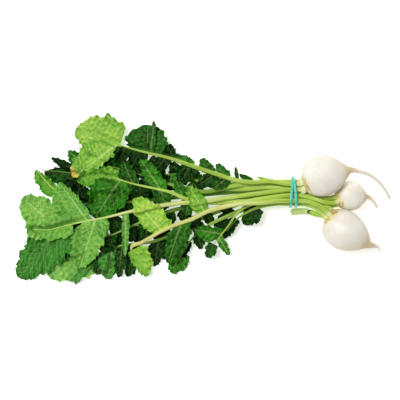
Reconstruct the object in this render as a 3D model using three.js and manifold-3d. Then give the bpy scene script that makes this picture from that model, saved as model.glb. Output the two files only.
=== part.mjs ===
// A bunch of three white salad turnips with their leaves, held by a rubber band and laid down.
// Millimetres, +Z up. The leaves reach along -X and the taproots along +X. The origin is on the
// surface that the bunch lies on, under the middle of its outline.
// The leaves are laid one on another, the lowest first: a height field of what already lies there
// carries each stalk and blade, so that none runs through another.
import * as THREE from 'three';
import { mergeVertices } from 'three/addons/utils/BufferGeometryUtils.js';
import Module from 'manifold-3d';

const wasm = await Module();
wasm.setup();

// Driving dimensions
const clearance = 0.45;          // air between two pieces that lie on each other
const stalkRadius = 2.7;         // leaf stalk, from the crown to the blade
const tipRadius = 0.75;          // midrib at the leaf's tip
const seatPitch = 6.3;           // step between stalks side by side in the tie
const stalkSides = 6;
const meshTolerances = [0.13, 0.15, 0.17, 0.11, 0.09, 0.07]; // points this near a flat face are left out
const footRun = 1.5;             // straight start of a stalk on its crown
const bandX = 104;               // middle of the rubber band along the bunch
const bundleY = 9.2;             // middle of the tied stalks
const bundleZ = 17.5;
const bandWidth = 3;
const bandThickness = 1.1;
const bandSpread = 3.2;          // half the distance between the band's two turns, at their widest
const bandCrossing = 0.75;       // rise of one turn over the other, half of it at their middle
const fallLength = 170;          // stretch over which the stalks sink from the tie
const loftStep = 2.2;            // each further leaf keeps this much more height past that stretch
const tipLoft = 0.3;             // share of that height left at the leaf's tip

// Bulbs: the axis from the pole to the root base, the taproot's further points, the widest radius and its
// share of the length, the crown's way from there, its stalks and their ring, and the half outline from
// the pole to the root base as shares of the length and of the radius.
const bulbs = {
  lower: {
    pole: [140.9, -21, 22.8], base: [190.5, -50.5, 22], radius: 22.9, ring: 4.9, stalks: 4, turn: 0,
    root: [[197, -51.6, 19.5], [202, -54, 17.5], [204.4, -58.5, 16]],
    rootRadius: [2.6, 0.8], widest: 0.4, crownWay: [-0.66, 0.72, 0.05],
    outline: [[0, 0.12], [0.015, 0.34], [0.05, 0.57], [0.13, 0.79], [0.26, 0.94], [0.4, 1], [0.53, 0.975],
      [0.64, 0.885], [0.75, 0.74], [0.85, 0.56], [0.93, 0.38], [1, 0.2]],
  },
  middle: {
    pole: [151.6, 6, 17], base: [189.8, 4.5, 16.2], radius: 16.9, ring: 4.7, stalks: 4, turn: 0.38,
    root: [[195, 1, 14.5], [198.5, -3.5, 11.5], [201, -8, 9.5]],
    rootRadius: [1.9, 1.6], widest: 0.47, crownWay: [-0.93, -0.3, 0.2],
    outline: [[0, 0.12], [0.02, 0.31], [0.06, 0.52], [0.13, 0.73], [0.24, 0.89], [0.36, 0.985], [0.48, 1],
      [0.62, 0.95], [0.76, 0.79], [0.87, 0.54], [0.95, 0.28], [1, 0.15]],
  },
  upper: {
    pole: [114.4, 22.8, 30], base: [168.8, 34.9, 36.5], radius: 23.2, ring: 5.6, stalks: 5, turn: -0.19,
    root: [[180.4, 32.9, 35], [188.4, 30.4, 33], [196.4, 26, 30], [203.5, 19.6, 26], [209.9, 11.6, 21.5],
      [215.2, 1.7, 17]],
    rootRadius: [2.2, 1.5], widest: 0.41, crownWay: [-0.89, -0.43, -0.35],
    outline: [[0, 0.12], [0.015, 0.33], [0.05, 0.58], [0.12, 0.78], [0.22, 0.91], [0.36, 1], [0.5, 0.985],
      [0.64, 0.885], [0.757, 0.7], [0.855, 0.47], [0.937, 0.27], [1, 0.16]],
  },
};
// Stump of a broken stalk, from the lower bulb's crown to its end beside the tie
const stump = {
  bulb: 'lower', angle: -2.36, ring: 8.3,
  points: [[131, -15.8, 12], [122, -12.8, 9.5], [112, -12.4, 8.5], [101.5, -13.4, 8]], radius: [2.6, 3.8],
};
const bulbSides = 16;
const bulbRings = 12;
const rootSides = 6;
const rootStep = 7;
const stumpSides = 8;

// Blades: each lobe is a grid of points between two skins
const blade = {
  thickness: 1.1,                // measured upright, so that steep stretches are a little thinner
  layer: 1.7,                    // step between lobes of one leaf that lie over each other
  longLobe: 34, longSteps: 8, shortSteps: 5,
  wideLobe: 28, wideColumns: 4, narrowColumns: 2,
  tooth: 0.09,                   // share of the width by which the margin goes in and out
  lean: 0.02,                    // share of the length by which the margin leads
  footTurn: 0.45,                // share of the length over which a lobe turns from its foot
  level: 6,                      // stretch from the root before the blade droops
  droop: 0.3,                    // fall for each millimetre outward, until it meets the pile
  waveHeight: 1.6, wavePace: 0.28,
};

// Leaves, the lowest first. seat is the place in the tie: across the bunch and up, in stalk widths.
// midrib is the plan of the stalk beyond the tie. Each lobe is its root on the midrib, its tip, its
// width to the left and to the right of that line, and how far its end is lifted.
const leaves = [
  { name: 'leaf_01', bulb: 'upper', spoke: 4, seat: [1.5, -1],
    midrib: [[55, 19], [26, 19], [-3, 22], [-37, 27], [-72, 32], [-106, 33], [-135, 30], [-162, 33],
      [-185, 35]],
    lobes: [[-141, 30, -183, 32, 15, 8, -2], [-139, 30, -175, 49, 4.5, 6, 0],
      [-129, 30, -155, 58, 10, 8, 0], [-97, 33, -111, 50, 9, 9, 2], [-60, 29, -73, 45, 9, 9, 2],
      [-79, 32, -88, 16, 9, 9, 0], [-30, 26, -40, 12, 8, 8, 0]] },
  { name: 'leaf_02', bulb: 'middle', spoke: 3, seat: [0.5, -1],
    midrib: [[55, 11], [22, 9], [-9, 6], [-49, 2], [-89, -2], [-124, -5], [-155, 1], [-175, 16],
      [-191, 34]],
    lobes: [[-168, 11, -193, 35, 12, 5, 2], [-146, -2, -142, 21, 11, 11, 2],
      [-162, 6, -152, 24, 7, 7, 2], [-145, -2, -162, -17, 10.5, 10.5, 0],
      [-118, -5, -127, 13, 12, 12, 2], [-104, -4, -106, -26, 8, 8, -2],
      [-83, -2, -95, -17, 10.5, 10.5, 0], [-43, 3, -52, -11, 9, 9, 0]] },
  { name: 'leaf_03', bulb: 'middle', spoke: 2, seat: [-0.5, -1],
    midrib: [[84, 6], [66, 3.5], [45, -3], [20, -11.5], [-3, -21], [-21, -30], [-40, -41], [-60, -48],
      [-94, -52], [-114, -58], [-135, -71], [-157, -82]],
    lobes: [[-120, -63, -179, -86, 20, 18, -2], [-128, -67, -147, -97, 4, 8, -3],
      [-114, -60, -122, -86, 8, 8, -3], [-103, -55, -110, -91, 12, 12.5, -4],
      [-82, -51, -86, -88, 11, 9, -4], [-93, -52, -97, -89, 8, 7, -4],
      [-95, -52, -104, -32, 8, 8, 3], [-72, -49, -80, -27, 7, 7, 3],
      [-50, -45, -55, -76, 8, 11, -3], [-36, -39, -45, -68, 7, 7, -3]] },
  { name: 'leaf_04', bulb: 'lower', spoke: 3, seat: [-1.5, -1],
    midrib: [[84, -0.5], [66, -4], [43, -12], [22, -21], [3, -31], [-12, -44], [-22, -59], [-34, -78]],
    lobes: [[-22, -59, -36, -84, 12, 10.5, -3], [-14, -47, -23, -66, 4, 7, -3],
      [36, -15, 20, -9, 6, 6, 1], [-3, -34, -14, -19, 8, 8, 3], [-7, -39, -1, -56, 6, 7, -3],
      [11, -25, 2, -13, 6, 6, 2]] },
  { name: 'leaf_05', bulb: 'middle', spoke: 0, seat: [0, 0],
    midrib: [[55, 5], [22, 2], [-9, -5], [-43, -14], [-78, -28], [-106, -40], [-135, -45], [-164, -49]],
    lobes: [[-136, -45, -178, -53, 16, 14, -2], [-106, -40, -117, -59, 10.5, 10.5, -2],
      [-93, -34, -104, -19, 10.5, 10.5, 2], [-60, -21, -67, -45, 11, 11, -2],
      [-80, -29, -80, -12, 8, 8, 2], [-84, -31, -82, -48, 7, 7, -2],
      [-37, -13, -46, -35, 10, 10, -1], [-18, -8, -24, -24, 8, 8, -2]] },
  { name: 'leaf_06', bulb: 'lower', spoke: 2, seat: [-2, 0],
    midrib: [[84, -3.5], [70, -6], [56, -11], [39, -22], [28, -35]],
    lobes: [[64, -8, 48, -28, 10.5, 11, -4], [40, -21, 25, -44, 5, 8, -4], [33, -28, 19, -33, 7, 7, -3]] },
  { name: 'leaf_07', bulb: 'lower', spoke: 0, seat: [-1, 0],
    midrib: [[84, 2.5], [68, 0], [52, -5.5], [40, -14], [31, -27], [22, -39], [13, -50]],
    lobes: [[22, -39, -12, -33, 11.5, 7, -1], [19, -42, 31, -63, 5, 5, -4], [14, -49, 5, -66, 7, 7, -4]] },
  { name: 'leaf_08', bulb: 'upper', spoke: 3, seat: [1, 0],
    midrib: [[73, 15], [47, 13], [22, 14], [3, 19], [-14, 26], [-30, 30], [-49, 29], [-65, 33], [-83, 43]],
    lobes: [[-58, 30, -86, 47, 10.5, 10.5, 3], [-3, 21, -14, 7, 8, 8, 0], [-5, 22, -12, 35, 7, 7, 2],
      [-25, 30, -36, 43, 9, 8, 2.5], [-41, 30, -48, 18, 8, 8, -1]] },
  { name: 'leaf_09', bulb: 'upper', spoke: 0, seat: [2, 0],
    midrib: [[84, 21.3], [66, 20.5], [47, 18.5], [22, 14], [3, 10], [-14, 13], [-35, 18], [-60, 26],
      [-86, 34], [-109, 40]],
    lobes: [[-93, 36, -122, 43, 9, 9, 2], [-70, 29, -82, 45, 8, 8, 3], [-48, 22, -54, 45, 9, 8, 3],
      [-60, 26, -73, 11, 8, 8, -1], [-26, 16, -37, 29, 7, 7, 3]] },
  { name: 'leaf_10', bulb: 'upper', spoke: 1, seat: [1.5, 1],
    midrib: [[78, 22], [55, 21], [39, 23], [20, 29], [-7, 38], [-39, 49], [-56, 53], [-72, 57], [-86, 61],
      [-101, 66], [-118, 73], [-134, 78]],
    lobes: [[-95, 63, -147, 80, 19, 28.5, 6], [-99, 62, -150, 27, 9, 23, 2],
      [-62, 55, -63, 87, 26, 23.5, 4], [-60, 54, -55.5, 91.5, 4.5, 4.5, 5],
      [-72, 57, -80, 40, 12, 12, -5], [-90, 62, -98, 44, 9, 9, -4], [-33, 47, -40, 64, 9, 7, 2],
      [-10, 39, -35, 52, 3.5, 7, 2], [13, 32, -2, 48, 8, 6, 2], [30, 27, 16, 42, 6, 6, 2],
      [40, 24, 38, 39, 3, 2, 3], [58, 21, 42, 30, 3.5, 3.5, 2], [78, 22, 62, 27, 2, 2, 3],
      [14, 30, -7, 16, 9, 7, -2], [-14, 40, -27, 18, 10.5, 10.5, -4], [30, 26, 12, 14, 7, 6, -1],
      [-42, 49, -55, 32, 9, 9, -5]] },
  { name: 'leaf_11', bulb: 'middle', spoke: 1, seat: [-0.5, 1],
    midrib: [[73, 3], [49, -1], [26, -2], [6, -2], [-19, 2], [-35, 9], [-51, 13], [-79, 19], [-104, 26],
      [-122, 28], [-139, 25]],
    lobes: [[-95, 23, -144, 24, 12, 15, 3], [-79, 19, -91, 45, 11.5, 9, 3],
      [-49, 12, -71, 47, 9, 10.5, 5], [-49, 12, -42, -7, 10.5, 12, -1],
      [-70, 17, -72, -4, 12, 12, -3], [-94, 22, -125, -20, 20, 24, 3], [-21, 3, -30, 22, 7, 7, 4],
      [-18, 2, -19, -18, 7, 7, -1]] },
  { name: 'leaf_12', bulb: 'upper', spoke: 2, seat: [0.5, 1],
    midrib: [[63, 8], [27, 3], [3, -1], [-26, -3], [-49, -6], [-80, -12], [-118, -21], [-135, -24],
      [-162, -30], [-178, -34], [-194, -33]],
    lobes: [[-167, -32, -208, 3, 23, 20, 4], [-133, -22, -165, 21, 25, 8, 3],
      [-159, -32, -213, -89, 25, 22, -2], [-122, -22, -142, -78, 17, 19.5, -2],
      [-150, -28, -203, -38, 14, 15, 2], [-116, -21, -113, -43, 9, 7, 1],
      [-89, -14, -89, -64, 4.5, 4.5, -3]] },
  { name: 'leaf_13', bulb: 'lower', spoke: 1, seat: [-1.5, 1],
    midrib: [[84, -0.5], [66, -2.5], [50, -3], [34, -5], [7, -12], [-14, -22], [-34, -29], [-58, -41],
      [-72, -49], [-81, -52], [-82, -58], [-77, -66], [-71, -75], [-66, -83]],
    lobes: [[1, -13, -16, 17, 10.5, 8, 5], [-48, -35, -79, 2, 12.5, 17, 5],
      [-24, -26, -40, -72, 15, 10.5, -4], [-80, -58, -65, -88, 18, 6, -1]] },
];

// The finish of each kind of piece
const finishes = {
  leaf: { color: 0x4f8f2c, roughness: 0.6, metalness: 0 },
  root: { color: 0xf1ecdd, roughness: 0.5, metalness: 0 },
  band: { color: 0x3fcfc0, roughness: 0.45, metalness: 0 },
};

// Height field: the top of everything laid so far, on square cells.
const cell = 1;
const fieldMin = [-225, -115];
const fieldSize = [460, 240];
const field = new Float32Array(fieldSize[0] * fieldSize[1]);

function cellOf(x, y) {
  const i = Math.round((x - fieldMin[0]) / cell);
  const j = Math.round((y - fieldMin[1]) / cell);
  return [Math.min(Math.max(i, 1), fieldSize[0] - 2), Math.min(Math.max(j, 1), fieldSize[1] - 2)];
}

// Height at a place: the highest of the nine cells round it.
function heightAt(x, y) {
  const [i, j] = cellOf(x, y);
  let top = 0;
  for (let b = j - 1; b <= j + 1; b += 1) {
    for (let a = i - 1; a <= i + 1; a += 1) {
      top = Math.max(top, field[b * fieldSize[0] + a]);
    }
  }
  return top;
}

// Raises the field to every triangle of a geometry.
function layOnField(geometry) {
  const position = geometry.getAttribute('position');
  const index = geometry.getIndex();
  const p = [new THREE.Vector3(), new THREE.Vector3(), new THREE.Vector3()];
  for (let t = 0; t < index.count; t += 3) {
    p.forEach((point, k) => point.fromBufferAttribute(position, index.getX(t + k)));
    const [lowI, lowJ] = cellOf(Math.min(...p.map((q) => q.x)), Math.min(...p.map((q) => q.y)));
    const [highI, highJ] = cellOf(Math.max(...p.map((q) => q.x)), Math.max(...p.map((q) => q.y)));
    const area = (p[1].x - p[0].x) * (p[2].y - p[0].y) - (p[2].x - p[0].x) * (p[1].y - p[0].y);
    for (let j = lowJ; j <= highJ; j += 1) {
      for (let i = lowI; i <= highI; i += 1) {
        const x = fieldMin[0] + i * cell;
        const y = fieldMin[1] + j * cell;
        const a = ((p[1].x - x) * (p[2].y - y) - (p[2].x - x) * (p[1].y - y)) / area;
        const b = ((p[2].x - x) * (p[0].y - y) - (p[0].x - x) * (p[2].y - y)) / area;
        const c = 1 - a - b;
        if (a >= 0 && b >= 0 && c >= 0) {
          const at = j * fieldSize[0] + i;
          field[at] = Math.max(field[at], a * p[0].z + b * p[1].z + c * p[2].z);
        }
      }
    }
    for (const q of p) {
      const [i, j] = cellOf(q.x, q.y);
      const at = j * fieldSize[0] + i;
      field[at] = Math.max(field[at], q.z);
    }
  }
}

// A closed skin over rings of points, all with the same count, with a flat cap at each end.
function ringSkin(rings) {
  const sides = rings[0].length;
  const index = [];
  for (let k = 0; k + 1 < rings.length; k += 1) {
    for (let s = 0; s < sides; s += 1) {
      const a = k * sides + s;
      const b = k * sides + ((s + 1) % sides);
      index.push(a, b, b + sides, a, b + sides, a + sides);
    }
  }
  const last = (rings.length - 1) * sides;
  for (let s = 1; s + 1 < sides; s += 1) {
    index.push(0, s + 1, s, last, last + s, last + s + 1);
  }
  const geometry = new THREE.BufferGeometry();
  const points = rings.flat().flatMap((p) => [p.x, p.y, p.z]);
  geometry.setAttribute('position', new THREE.Float32BufferAttribute(points, 3));
  geometry.setIndex(index);
  return geometry;
}

// A round skin along a line of points, each with its own radius. Rings stand square to the line.
function tube(points, radii, sides) {
  const up = new THREE.Vector3(0, 0, 1);
  const rings = points.map((point, k) => {
    const before = points[Math.max(k - 1, 0)];
    const after = points[Math.min(k + 1, points.length - 1)];
    const along = new THREE.Vector3().subVectors(after, before).normalize();
    const side = new THREE.Vector3().crossVectors(up, along).normalize();
    const rise = new THREE.Vector3().crossVectors(along, side);
    return Array.from({ length: sides }, (unused, s) => {
      const angle = (2 * Math.PI * s) / sides;
      return point.clone()
        .addScaledVector(side, radii[k] * Math.cos(angle))
        .addScaledVector(rise, radii[k] * Math.sin(angle));
    });
  });
  return ringSkin(rings);
}

function solidOf(geometry, nearness = 1e-4) {
  const bare = new THREE.BufferGeometry();
  bare.setAttribute('position', geometry.getAttribute('position'));
  bare.setIndex(geometry.getIndex());
  const merged = mergeVertices(bare, nearness);
  return new wasm.Manifold(new wasm.Mesh({
    numProp: 3,
    vertProperties: new Float32Array(merged.getAttribute('position').array),
    triVerts: new Uint32Array(merged.getIndex().array),
  }));
}

function geometryOf(solid) {
  const mesh = solid.getMesh();
  const geometry = new THREE.BufferGeometry();
  geometry.setAttribute('position', new THREE.Float32BufferAttribute(mesh.vertProperties, 3));
  geometry.setIndex(Array.from(mesh.triVerts));
  geometry.computeVertexNormals();
  return geometry;
}

// Whether every edge has just two faces and no face is bare, once points that all but meet are joined.
function hasPlainEdges(geometry) {
  const merged = mergeVertices(new THREE.BufferGeometry().copy(geometry).deleteAttribute('normal'), 2e-3);
  const index = merged.getIndex().array;
  const faces = new Map();
  for (let t = 0; t < index.length; t += 3) {
    for (let k = 0; k < 3; k += 1) {
      const ends = [index[t + k], index[t + ((k + 1) % 3)]].sort((a, b) => a - b);
      if (ends[0] === ends[1]) return false;
      faces.set(ends.join(' '), (faces.get(ends.join(' ')) ?? 0) + 1);
    }
  }
  return [...faces.values()].every((count) => count === 2);
}

// The largest body of a solid, with no scrap or sealed pore, thinned just enough for plain edges.
function oneBody(solid) {
  const body = solid.decompose().sort((a, b) => b.volume() - a.volume())[0];
  const thinned = meshTolerances.map((tolerance) => body.simplify(tolerance));
  const whole = thinned.filter((copy) => copy.decompose().length === 1).map(geometryOf);
  return whole.find(hasPlainEdges) ?? whole[0];
}

// Bulb: one skin along the axis from the pole to the root base, and on down the bent taproot.
function bulbGeometry(bulb) {
  const pole = new THREE.Vector3(...bulb.pole);
  const base = new THREE.Vector3(...bulb.base);
  const outline = new THREE.SplineCurve(bulb.outline.map(([u, r]) => new THREE.Vector2(u, r)));
  const points = [];
  const radii = [];
  for (let k = 0; k <= bulbRings; k += 1) {
    const at = outline.getPoint(k / bulbRings);
    points.push(new THREE.Vector3().lerpVectors(pole, base, at.x));
    radii.push(at.y * bulb.radius);
  }
  const inside = new THREE.Vector3().lerpVectors(pole, base, 0.93);
  const rootPath = bulb.root.map((p) => new THREE.Vector3(...p));
  const rootLine = new THREE.CatmullRomCurve3([inside, base, ...rootPath]);
  const steps = Math.round(rootLine.getLength() / rootStep);
  const rootPoints = rootLine.getSpacedPoints(steps);
  const rootRadii = rootPoints.map((p, k) => {
    return THREE.MathUtils.lerp(bulb.rootRadius[0], bulb.rootRadius[1], k / steps);
  });
  const body = solidOf(tube(points, radii, bulbSides));
  const root = solidOf(tube(rootPoints, rootRadii, rootSides));
  const under = solidOf(new THREE.BoxGeometry(400, 300, 100).translate(100, 0, -50));
  return geometryOf(body.add(root).subtract(under));
}

// Plan line of a leaf's stalk and midrib from the tie to its tip, in even steps.
const fineStep = 3;
const keptEvery = 5;             // the solid has a ring of points at every so many steps
function midribPlan(leaf) {
  const y = bundleY + leaf.seat[0] * seatPitch;
  const start = [[bandX + 5, y], [bandX - 6, y]];
  const points = [...start, ...leaf.midrib].map(([a, b]) => new THREE.Vector3(a, b, 0));
  const line = new THREE.CatmullRomCurve3(points);
  return line.getSpacedPoints(Math.round(line.getLength() / fineStep));
}

// Lifts the line over what lies under it: the need at each point is spread to its neighbours and
// then averaged over the same stretch, which never falls below the need.
function layMidrib(plan, radii, seatZ, loft) {
  const reach = 5;
  const room = 1.3 * clearance;
  const need = plan.map((p, k) => {
    const r = radii[k] + room;
    const cells = Math.ceil(r / cell);
    let z = radii[k];
    for (let dx = -cells * cell; dx <= r; dx += cell) {
      for (let dy = -cells * cell; dy <= r; dy += cell) {
        const d2 = dx * dx + dy * dy;
        if (d2 < r * r) {
          const [i, j] = cellOf(p.x + dx, p.y + dy);
          const top = field[j * fieldSize[0] + i];
          if (top > 0) z = Math.max(z, top + Math.sqrt(r * r - d2));
        }
      }
    }
    return z;
  });
  const window = (values, k) => values.slice(Math.max(k - reach, 0), k + reach + 1);
  const spread = need.map((unused, k) => Math.max(...window(need, k)));
  plan.forEach((p, k) => {
    const mean = window(spread, k).reduce((sum, z) => sum + z, 0) / window(spread, k).length;
    const fall = THREE.MathUtils.smoothstep(k * fineStep, 0, fallLength);
    const arch = THREE.MathUtils.lerp(1, tipLoft, THREE.MathUtils.smoothstep(k / plan.length, 0.6, 1));
    p.z = Math.max(mean, THREE.MathUtils.lerp(seatZ, radii[k] + loft * arch, fall));
  });
}

// Share of a lobe's width at a share of its length: broad foot, full middle, blunt tip.
function lobeWidth(u) {
  const full = Math.sqrt(Math.max(Math.sin(Math.PI * Math.pow(0.12 + 0.88 * u, 0.8)), 0));
  return Math.max(full, 0.04);
}

// Blade of one lobe: a grid of points from its root to its tip, with a toothed and waved margin,
// laid on the field, and a second skin one thickness above the first.
function lobeGeometry(lobe, midrib, layer) {
  const [rootX, rootY, tipX, tipY, left, right, lift] = lobe;
  const distance = (p) => Math.hypot(p.x - rootX, p.y - rootY);
  const at = midrib.reduce((best, p, k) => (distance(p) < distance(midrib[best]) ? k : best), 0);
  const root = midrib[at];
  const length = Math.hypot(tipX - root.x, tipY - root.y);
  const along = length > blade.longLobe ? blade.longSteps : blade.shortSteps;
  const across = left + right > blade.wideLobe ? blade.wideColumns : blade.narrowColumns;
  const before = midrib[Math.max(at - 2, 0)];
  const after = midrib[Math.min(at + 2, midrib.length - 1)];
  const ribWay = new THREE.Vector2(after.x - before.x, after.y - before.y).normalize();
  const way = new THREE.Vector2(tipX - root.x, tipY - root.y).normalize();
  const square = new THREE.Vector2(-way.y, way.x);
  const foot = ribWay.clone().multiplyScalar(Math.sign(ribWay.dot(square)) || 1);
  const endLobe = Math.abs(ribWay.dot(way)) > 0.8;
  const lower = [];
  for (let i = 0; i <= along; i += 1) {
    const u = i / along;
    const turn = endLobe ? 1 : THREE.MathUtils.smoothstep(u, 0, blade.footTurn);
    const between = i > 0 && i < along;
    const acrossWay = foot.clone().lerp(square, turn).normalize();
    for (let j = 0; j <= across; j += 1) {
      const v = (2 * j) / across - 1;
      const edge = between && Math.abs(v) === 1;
      const tooth = edge ? 1 + blade.tooth * (i % 2 ? 1 : -1) : 1;
      const width = (v < 0 ? right : left) * lobeWidth(u) * tooth * v;
      const run = u * length + (edge ? blade.lean * length : 0);
      const x = root.x + way.x * run + acrossWay.x * width;
      const y = root.y + way.y * run + acrossWay.y * width;
      const fall = blade.droop * Math.max(u * length - blade.level, 0);
      const wave = Math.abs(v) * blade.waveHeight * Math.sin(u * length * blade.wavePace + at);
      lower.push(new THREE.Vector3(x, y, root.z - 0.5 * blade.thickness - fall + (lift + wave) * u));
    }
  }
  const cells = [];
  for (let i = 0; i < along; i += 1) {
    for (let j = 0; j < across; j += 1) {
      const a = i * (across + 1) + j;
      const b = a + across + 1;
      const rising = (i + j) % 2 === 0;
      cells.push(...(rising ? [[a, b, b + 1], [a, b + 1, a + 1]] : [[a, b, a + 1], [a + 1, b, b + 1]]));
    }
  }
  const held = (k) => (endLobe ? k === across / 2 : k <= across);
  drape(lower, cells, layer * blade.layer, held);
  return slab(lower, cells, along, across);
}

// Raises the points until every triangle clears the field. Held points, sunk in the midrib, stay.
function drape(points, cells, extra, held) {
  const shares = [];
  const parts = 6;
  const rounds = 12;
  const nearEnough = 0.02;
  for (let a = 0; a <= parts; a += 1) {
    for (let b = 0; a + b <= parts; b += 1) {
      shares.push([a / parts, b / parts, (parts - a - b) / parts]);
    }
  }
  points.forEach((p, k) => {
    if (!held(k)) p.z = Math.max(p.z, heightAt(p.x, p.y) > 0 ? heightAt(p.x, p.y) + clearance : 0);
  });
  for (let round = 0; round < rounds; round += 1) {
    let worst = 0;
    for (const corners of cells) {
      const p = corners.map((k) => points[k]);
      for (const w of shares) {
        const x = w[0] * p[0].x + w[1] * p[1].x + w[2] * p[2].x;
        const y = w[0] * p[0].y + w[1] * p[1].y + w[2] * p[2].y;
        const z = w[0] * p[0].z + w[1] * p[1].z + w[2] * p[2].z;
        const top = heightAt(x, y);
        const short = (top > 0 ? top + clearance + extra : 0) - z;
        if (short > 0) {
          const free = corners.map((k, n) => (held(k) ? 0 : w[n]));
          const total = free.reduce((sum, f) => sum + f * f, 0);
          if (total > nearEnough) {
            free.forEach((f, n) => { p[n].z += (short * f) / total; });
            worst = Math.max(worst, short);
          }
        }
      }
    }
    if (worst < nearEnough) break;
  }
}

// Two like grids, one above the other, closed round their rim.
function slab(lower, cells, along, across) {
  const row = across + 1;
  const count = lower.length;
  const upper = lower.map((p) => new THREE.Vector3(p.x, p.y, p.z + blade.thickness));
  const index = [];
  for (const [a, b, c] of cells) {
    index.push(a, c, b, a + count, b + count, c + count);
  }
  const rim = [];
  for (let j = 0; j < across; j += 1) rim.push(j);
  for (let i = 0; i < along; i += 1) rim.push(i * row + across);
  for (let j = across; j > 0; j -= 1) rim.push(along * row + j);
  for (let i = along; i > 0; i -= 1) rim.push(i * row);
  rim.forEach((a, k) => {
    const b = rim[(k + 1) % rim.length];
    index.push(a, b + count, b, a, a + count, b + count);
  });
  const geometry = new THREE.BufferGeometry();
  const points = [...lower, ...upper].flatMap((p) => [p.x, p.y, p.z]);
  geometry.setAttribute('position', new THREE.Float32BufferAttribute(points, 3));
  geometry.setIndex(index);
  return solidOf(geometry).volume() < 0 ? flipped(geometry) : geometry;
}

function flipped(geometry) {
  const index = Array.from(geometry.getIndex().array);
  for (let t = 0; t < index.length; t += 3) {
    [index[t + 1], index[t + 2]] = [index[t + 2], index[t + 1]];
  }
  geometry.setIndex(index);
  return geometry;
}

// Where a stalk leaves its bulb: on a ring round the crown, just clear of it.
function crownSeat(bulb, angle, ring) {
  const middle = new THREE.Vector3(...bulb.pole).lerp(new THREE.Vector3(...bulb.base), bulb.widest);
  const away = new THREE.Vector3(...bulb.crownWay).normalize();
  const side = new THREE.Vector3().crossVectors(away, new THREE.Vector3(0, 0, 1)).normalize();
  const rise = new THREE.Vector3().crossVectors(side, away);
  const seat = middle.addScaledVector(away, bulb.radius + 2 * clearance)
    .addScaledVector(side, ring * Math.cos(angle))
    .addScaledVector(rise, ring * Math.sin(angle));
  return { seat, away };
}

// Moves a stalk's point off every bulb but its own.
function clearOfBulbs(p, own) {
  for (const [name, bulb] of Object.entries(bulbs)) {
    if (name === own) continue;
    const axis = new THREE.Line3(new THREE.Vector3(...bulb.pole), new THREE.Vector3(...bulb.base));
    const share = axis.closestPointToPointParameter(p, false);
    if (share < -0.05 || share > 1) continue;
    const away = new THREE.Vector3().subVectors(p, axis.at(share, new THREE.Vector3()));
    const short = outlineRadius(bulb, share) + stalkRadius + 2 * clearance - away.length();
    if (short > 0) {
      away.x = 0;
      p.addScaledVector(away.normalize(), short * 0.5);
    }
  }
}

// Radius of a bulb at a share of its length, straight between the points of its outline.
function outlineRadius(bulb, share) {
  const next = bulb.outline.findIndex(([u]) => u > share);
  if (next < 1) return bulb.outline[0][1] * bulb.radius;
  const [[u0, r0], [u1, r1]] = bulb.outline.slice(next - 1, next + 1);
  return THREE.MathUtils.mapLinear(share, u0, u1, r0, r1) * bulb.radius;
}

// Stalks between the crowns and the tie: smooth lines first, then pushed apart where they crowd.
const crownStep = 3;
const crownBend = 0.4;           // share of the way over which a stalk keeps its first direction
const crownRounds = 300;
const push = 0.3;                // share of a shortfall made good in one round, by each stalk
function crownLines(laid) {
  const lines = laid.map(({ leaf, midrib }) => {
    const bulb = bulbs[leaf.bulb];
    const angle = bulb.turn + (2 * Math.PI * leaf.spoke) / bulb.stalks;
    const { seat, away } = crownSeat(bulb, angle, bulb.ring);
    const end = midrib[0];
    const reach = seat.distanceTo(end) * crownBend;
    const foot = seat.clone().addScaledVector(away, footRun);
    const curve = new THREE.CubicBezierCurve3(foot, foot.clone().addScaledVector(away, reach),
      end.clone().add(new THREE.Vector3(reach, 0, 0)), end);
    const steps = 2 * Math.max(Math.round(curve.getLength() / crownStep / 2), 1);
    return [seat, ...curve.getSpacedPoints(steps)];
  });
  const apart = 2 * stalkRadius + clearance;
  for (let round = 0; round < crownRounds; round += 1) {
    for (let a = 0; a < lines.length; a += 1) {
      for (let b = a + 1; b < lines.length; b += 1) {
        for (const p of lines[a].slice(2, -1)) {
          for (const q of lines[b].slice(2, -1)) {
            const way = new THREE.Vector3().subVectors(q, p);
            const short = apart - way.length();
            if (short > 0) {
              way.x = 0;
              way.normalize().multiplyScalar(short * push);
              p.sub(way);
              q.add(way);
            }
          }
        }
      }
    }
    lines.forEach((line, n) => line.slice(2, -1).forEach((p) => clearOfBulbs(p, laid[n].leaf.bulb)));
  }
  return lines;
}

function stumpGeometry() {
  const { seat, away } = crownSeat(bulbs[stump.bulb], stump.angle, stump.ring);
  const foot = seat.clone().addScaledVector(away, footRun);
  const line = new THREE.CatmullRomCurve3([foot, ...stump.points.map((p) => new THREE.Vector3(...p))]);
  const points = [seat, ...line.getSpacedPoints(8)];
  const last = points.length - 1;
  const radii = points.map((p, k) => THREE.MathUtils.lerp(stump.radius[0], stump.radius[1], k / last));
  return geometryOf(solidOf(tube(points, radii, stumpSides)));
}

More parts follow.
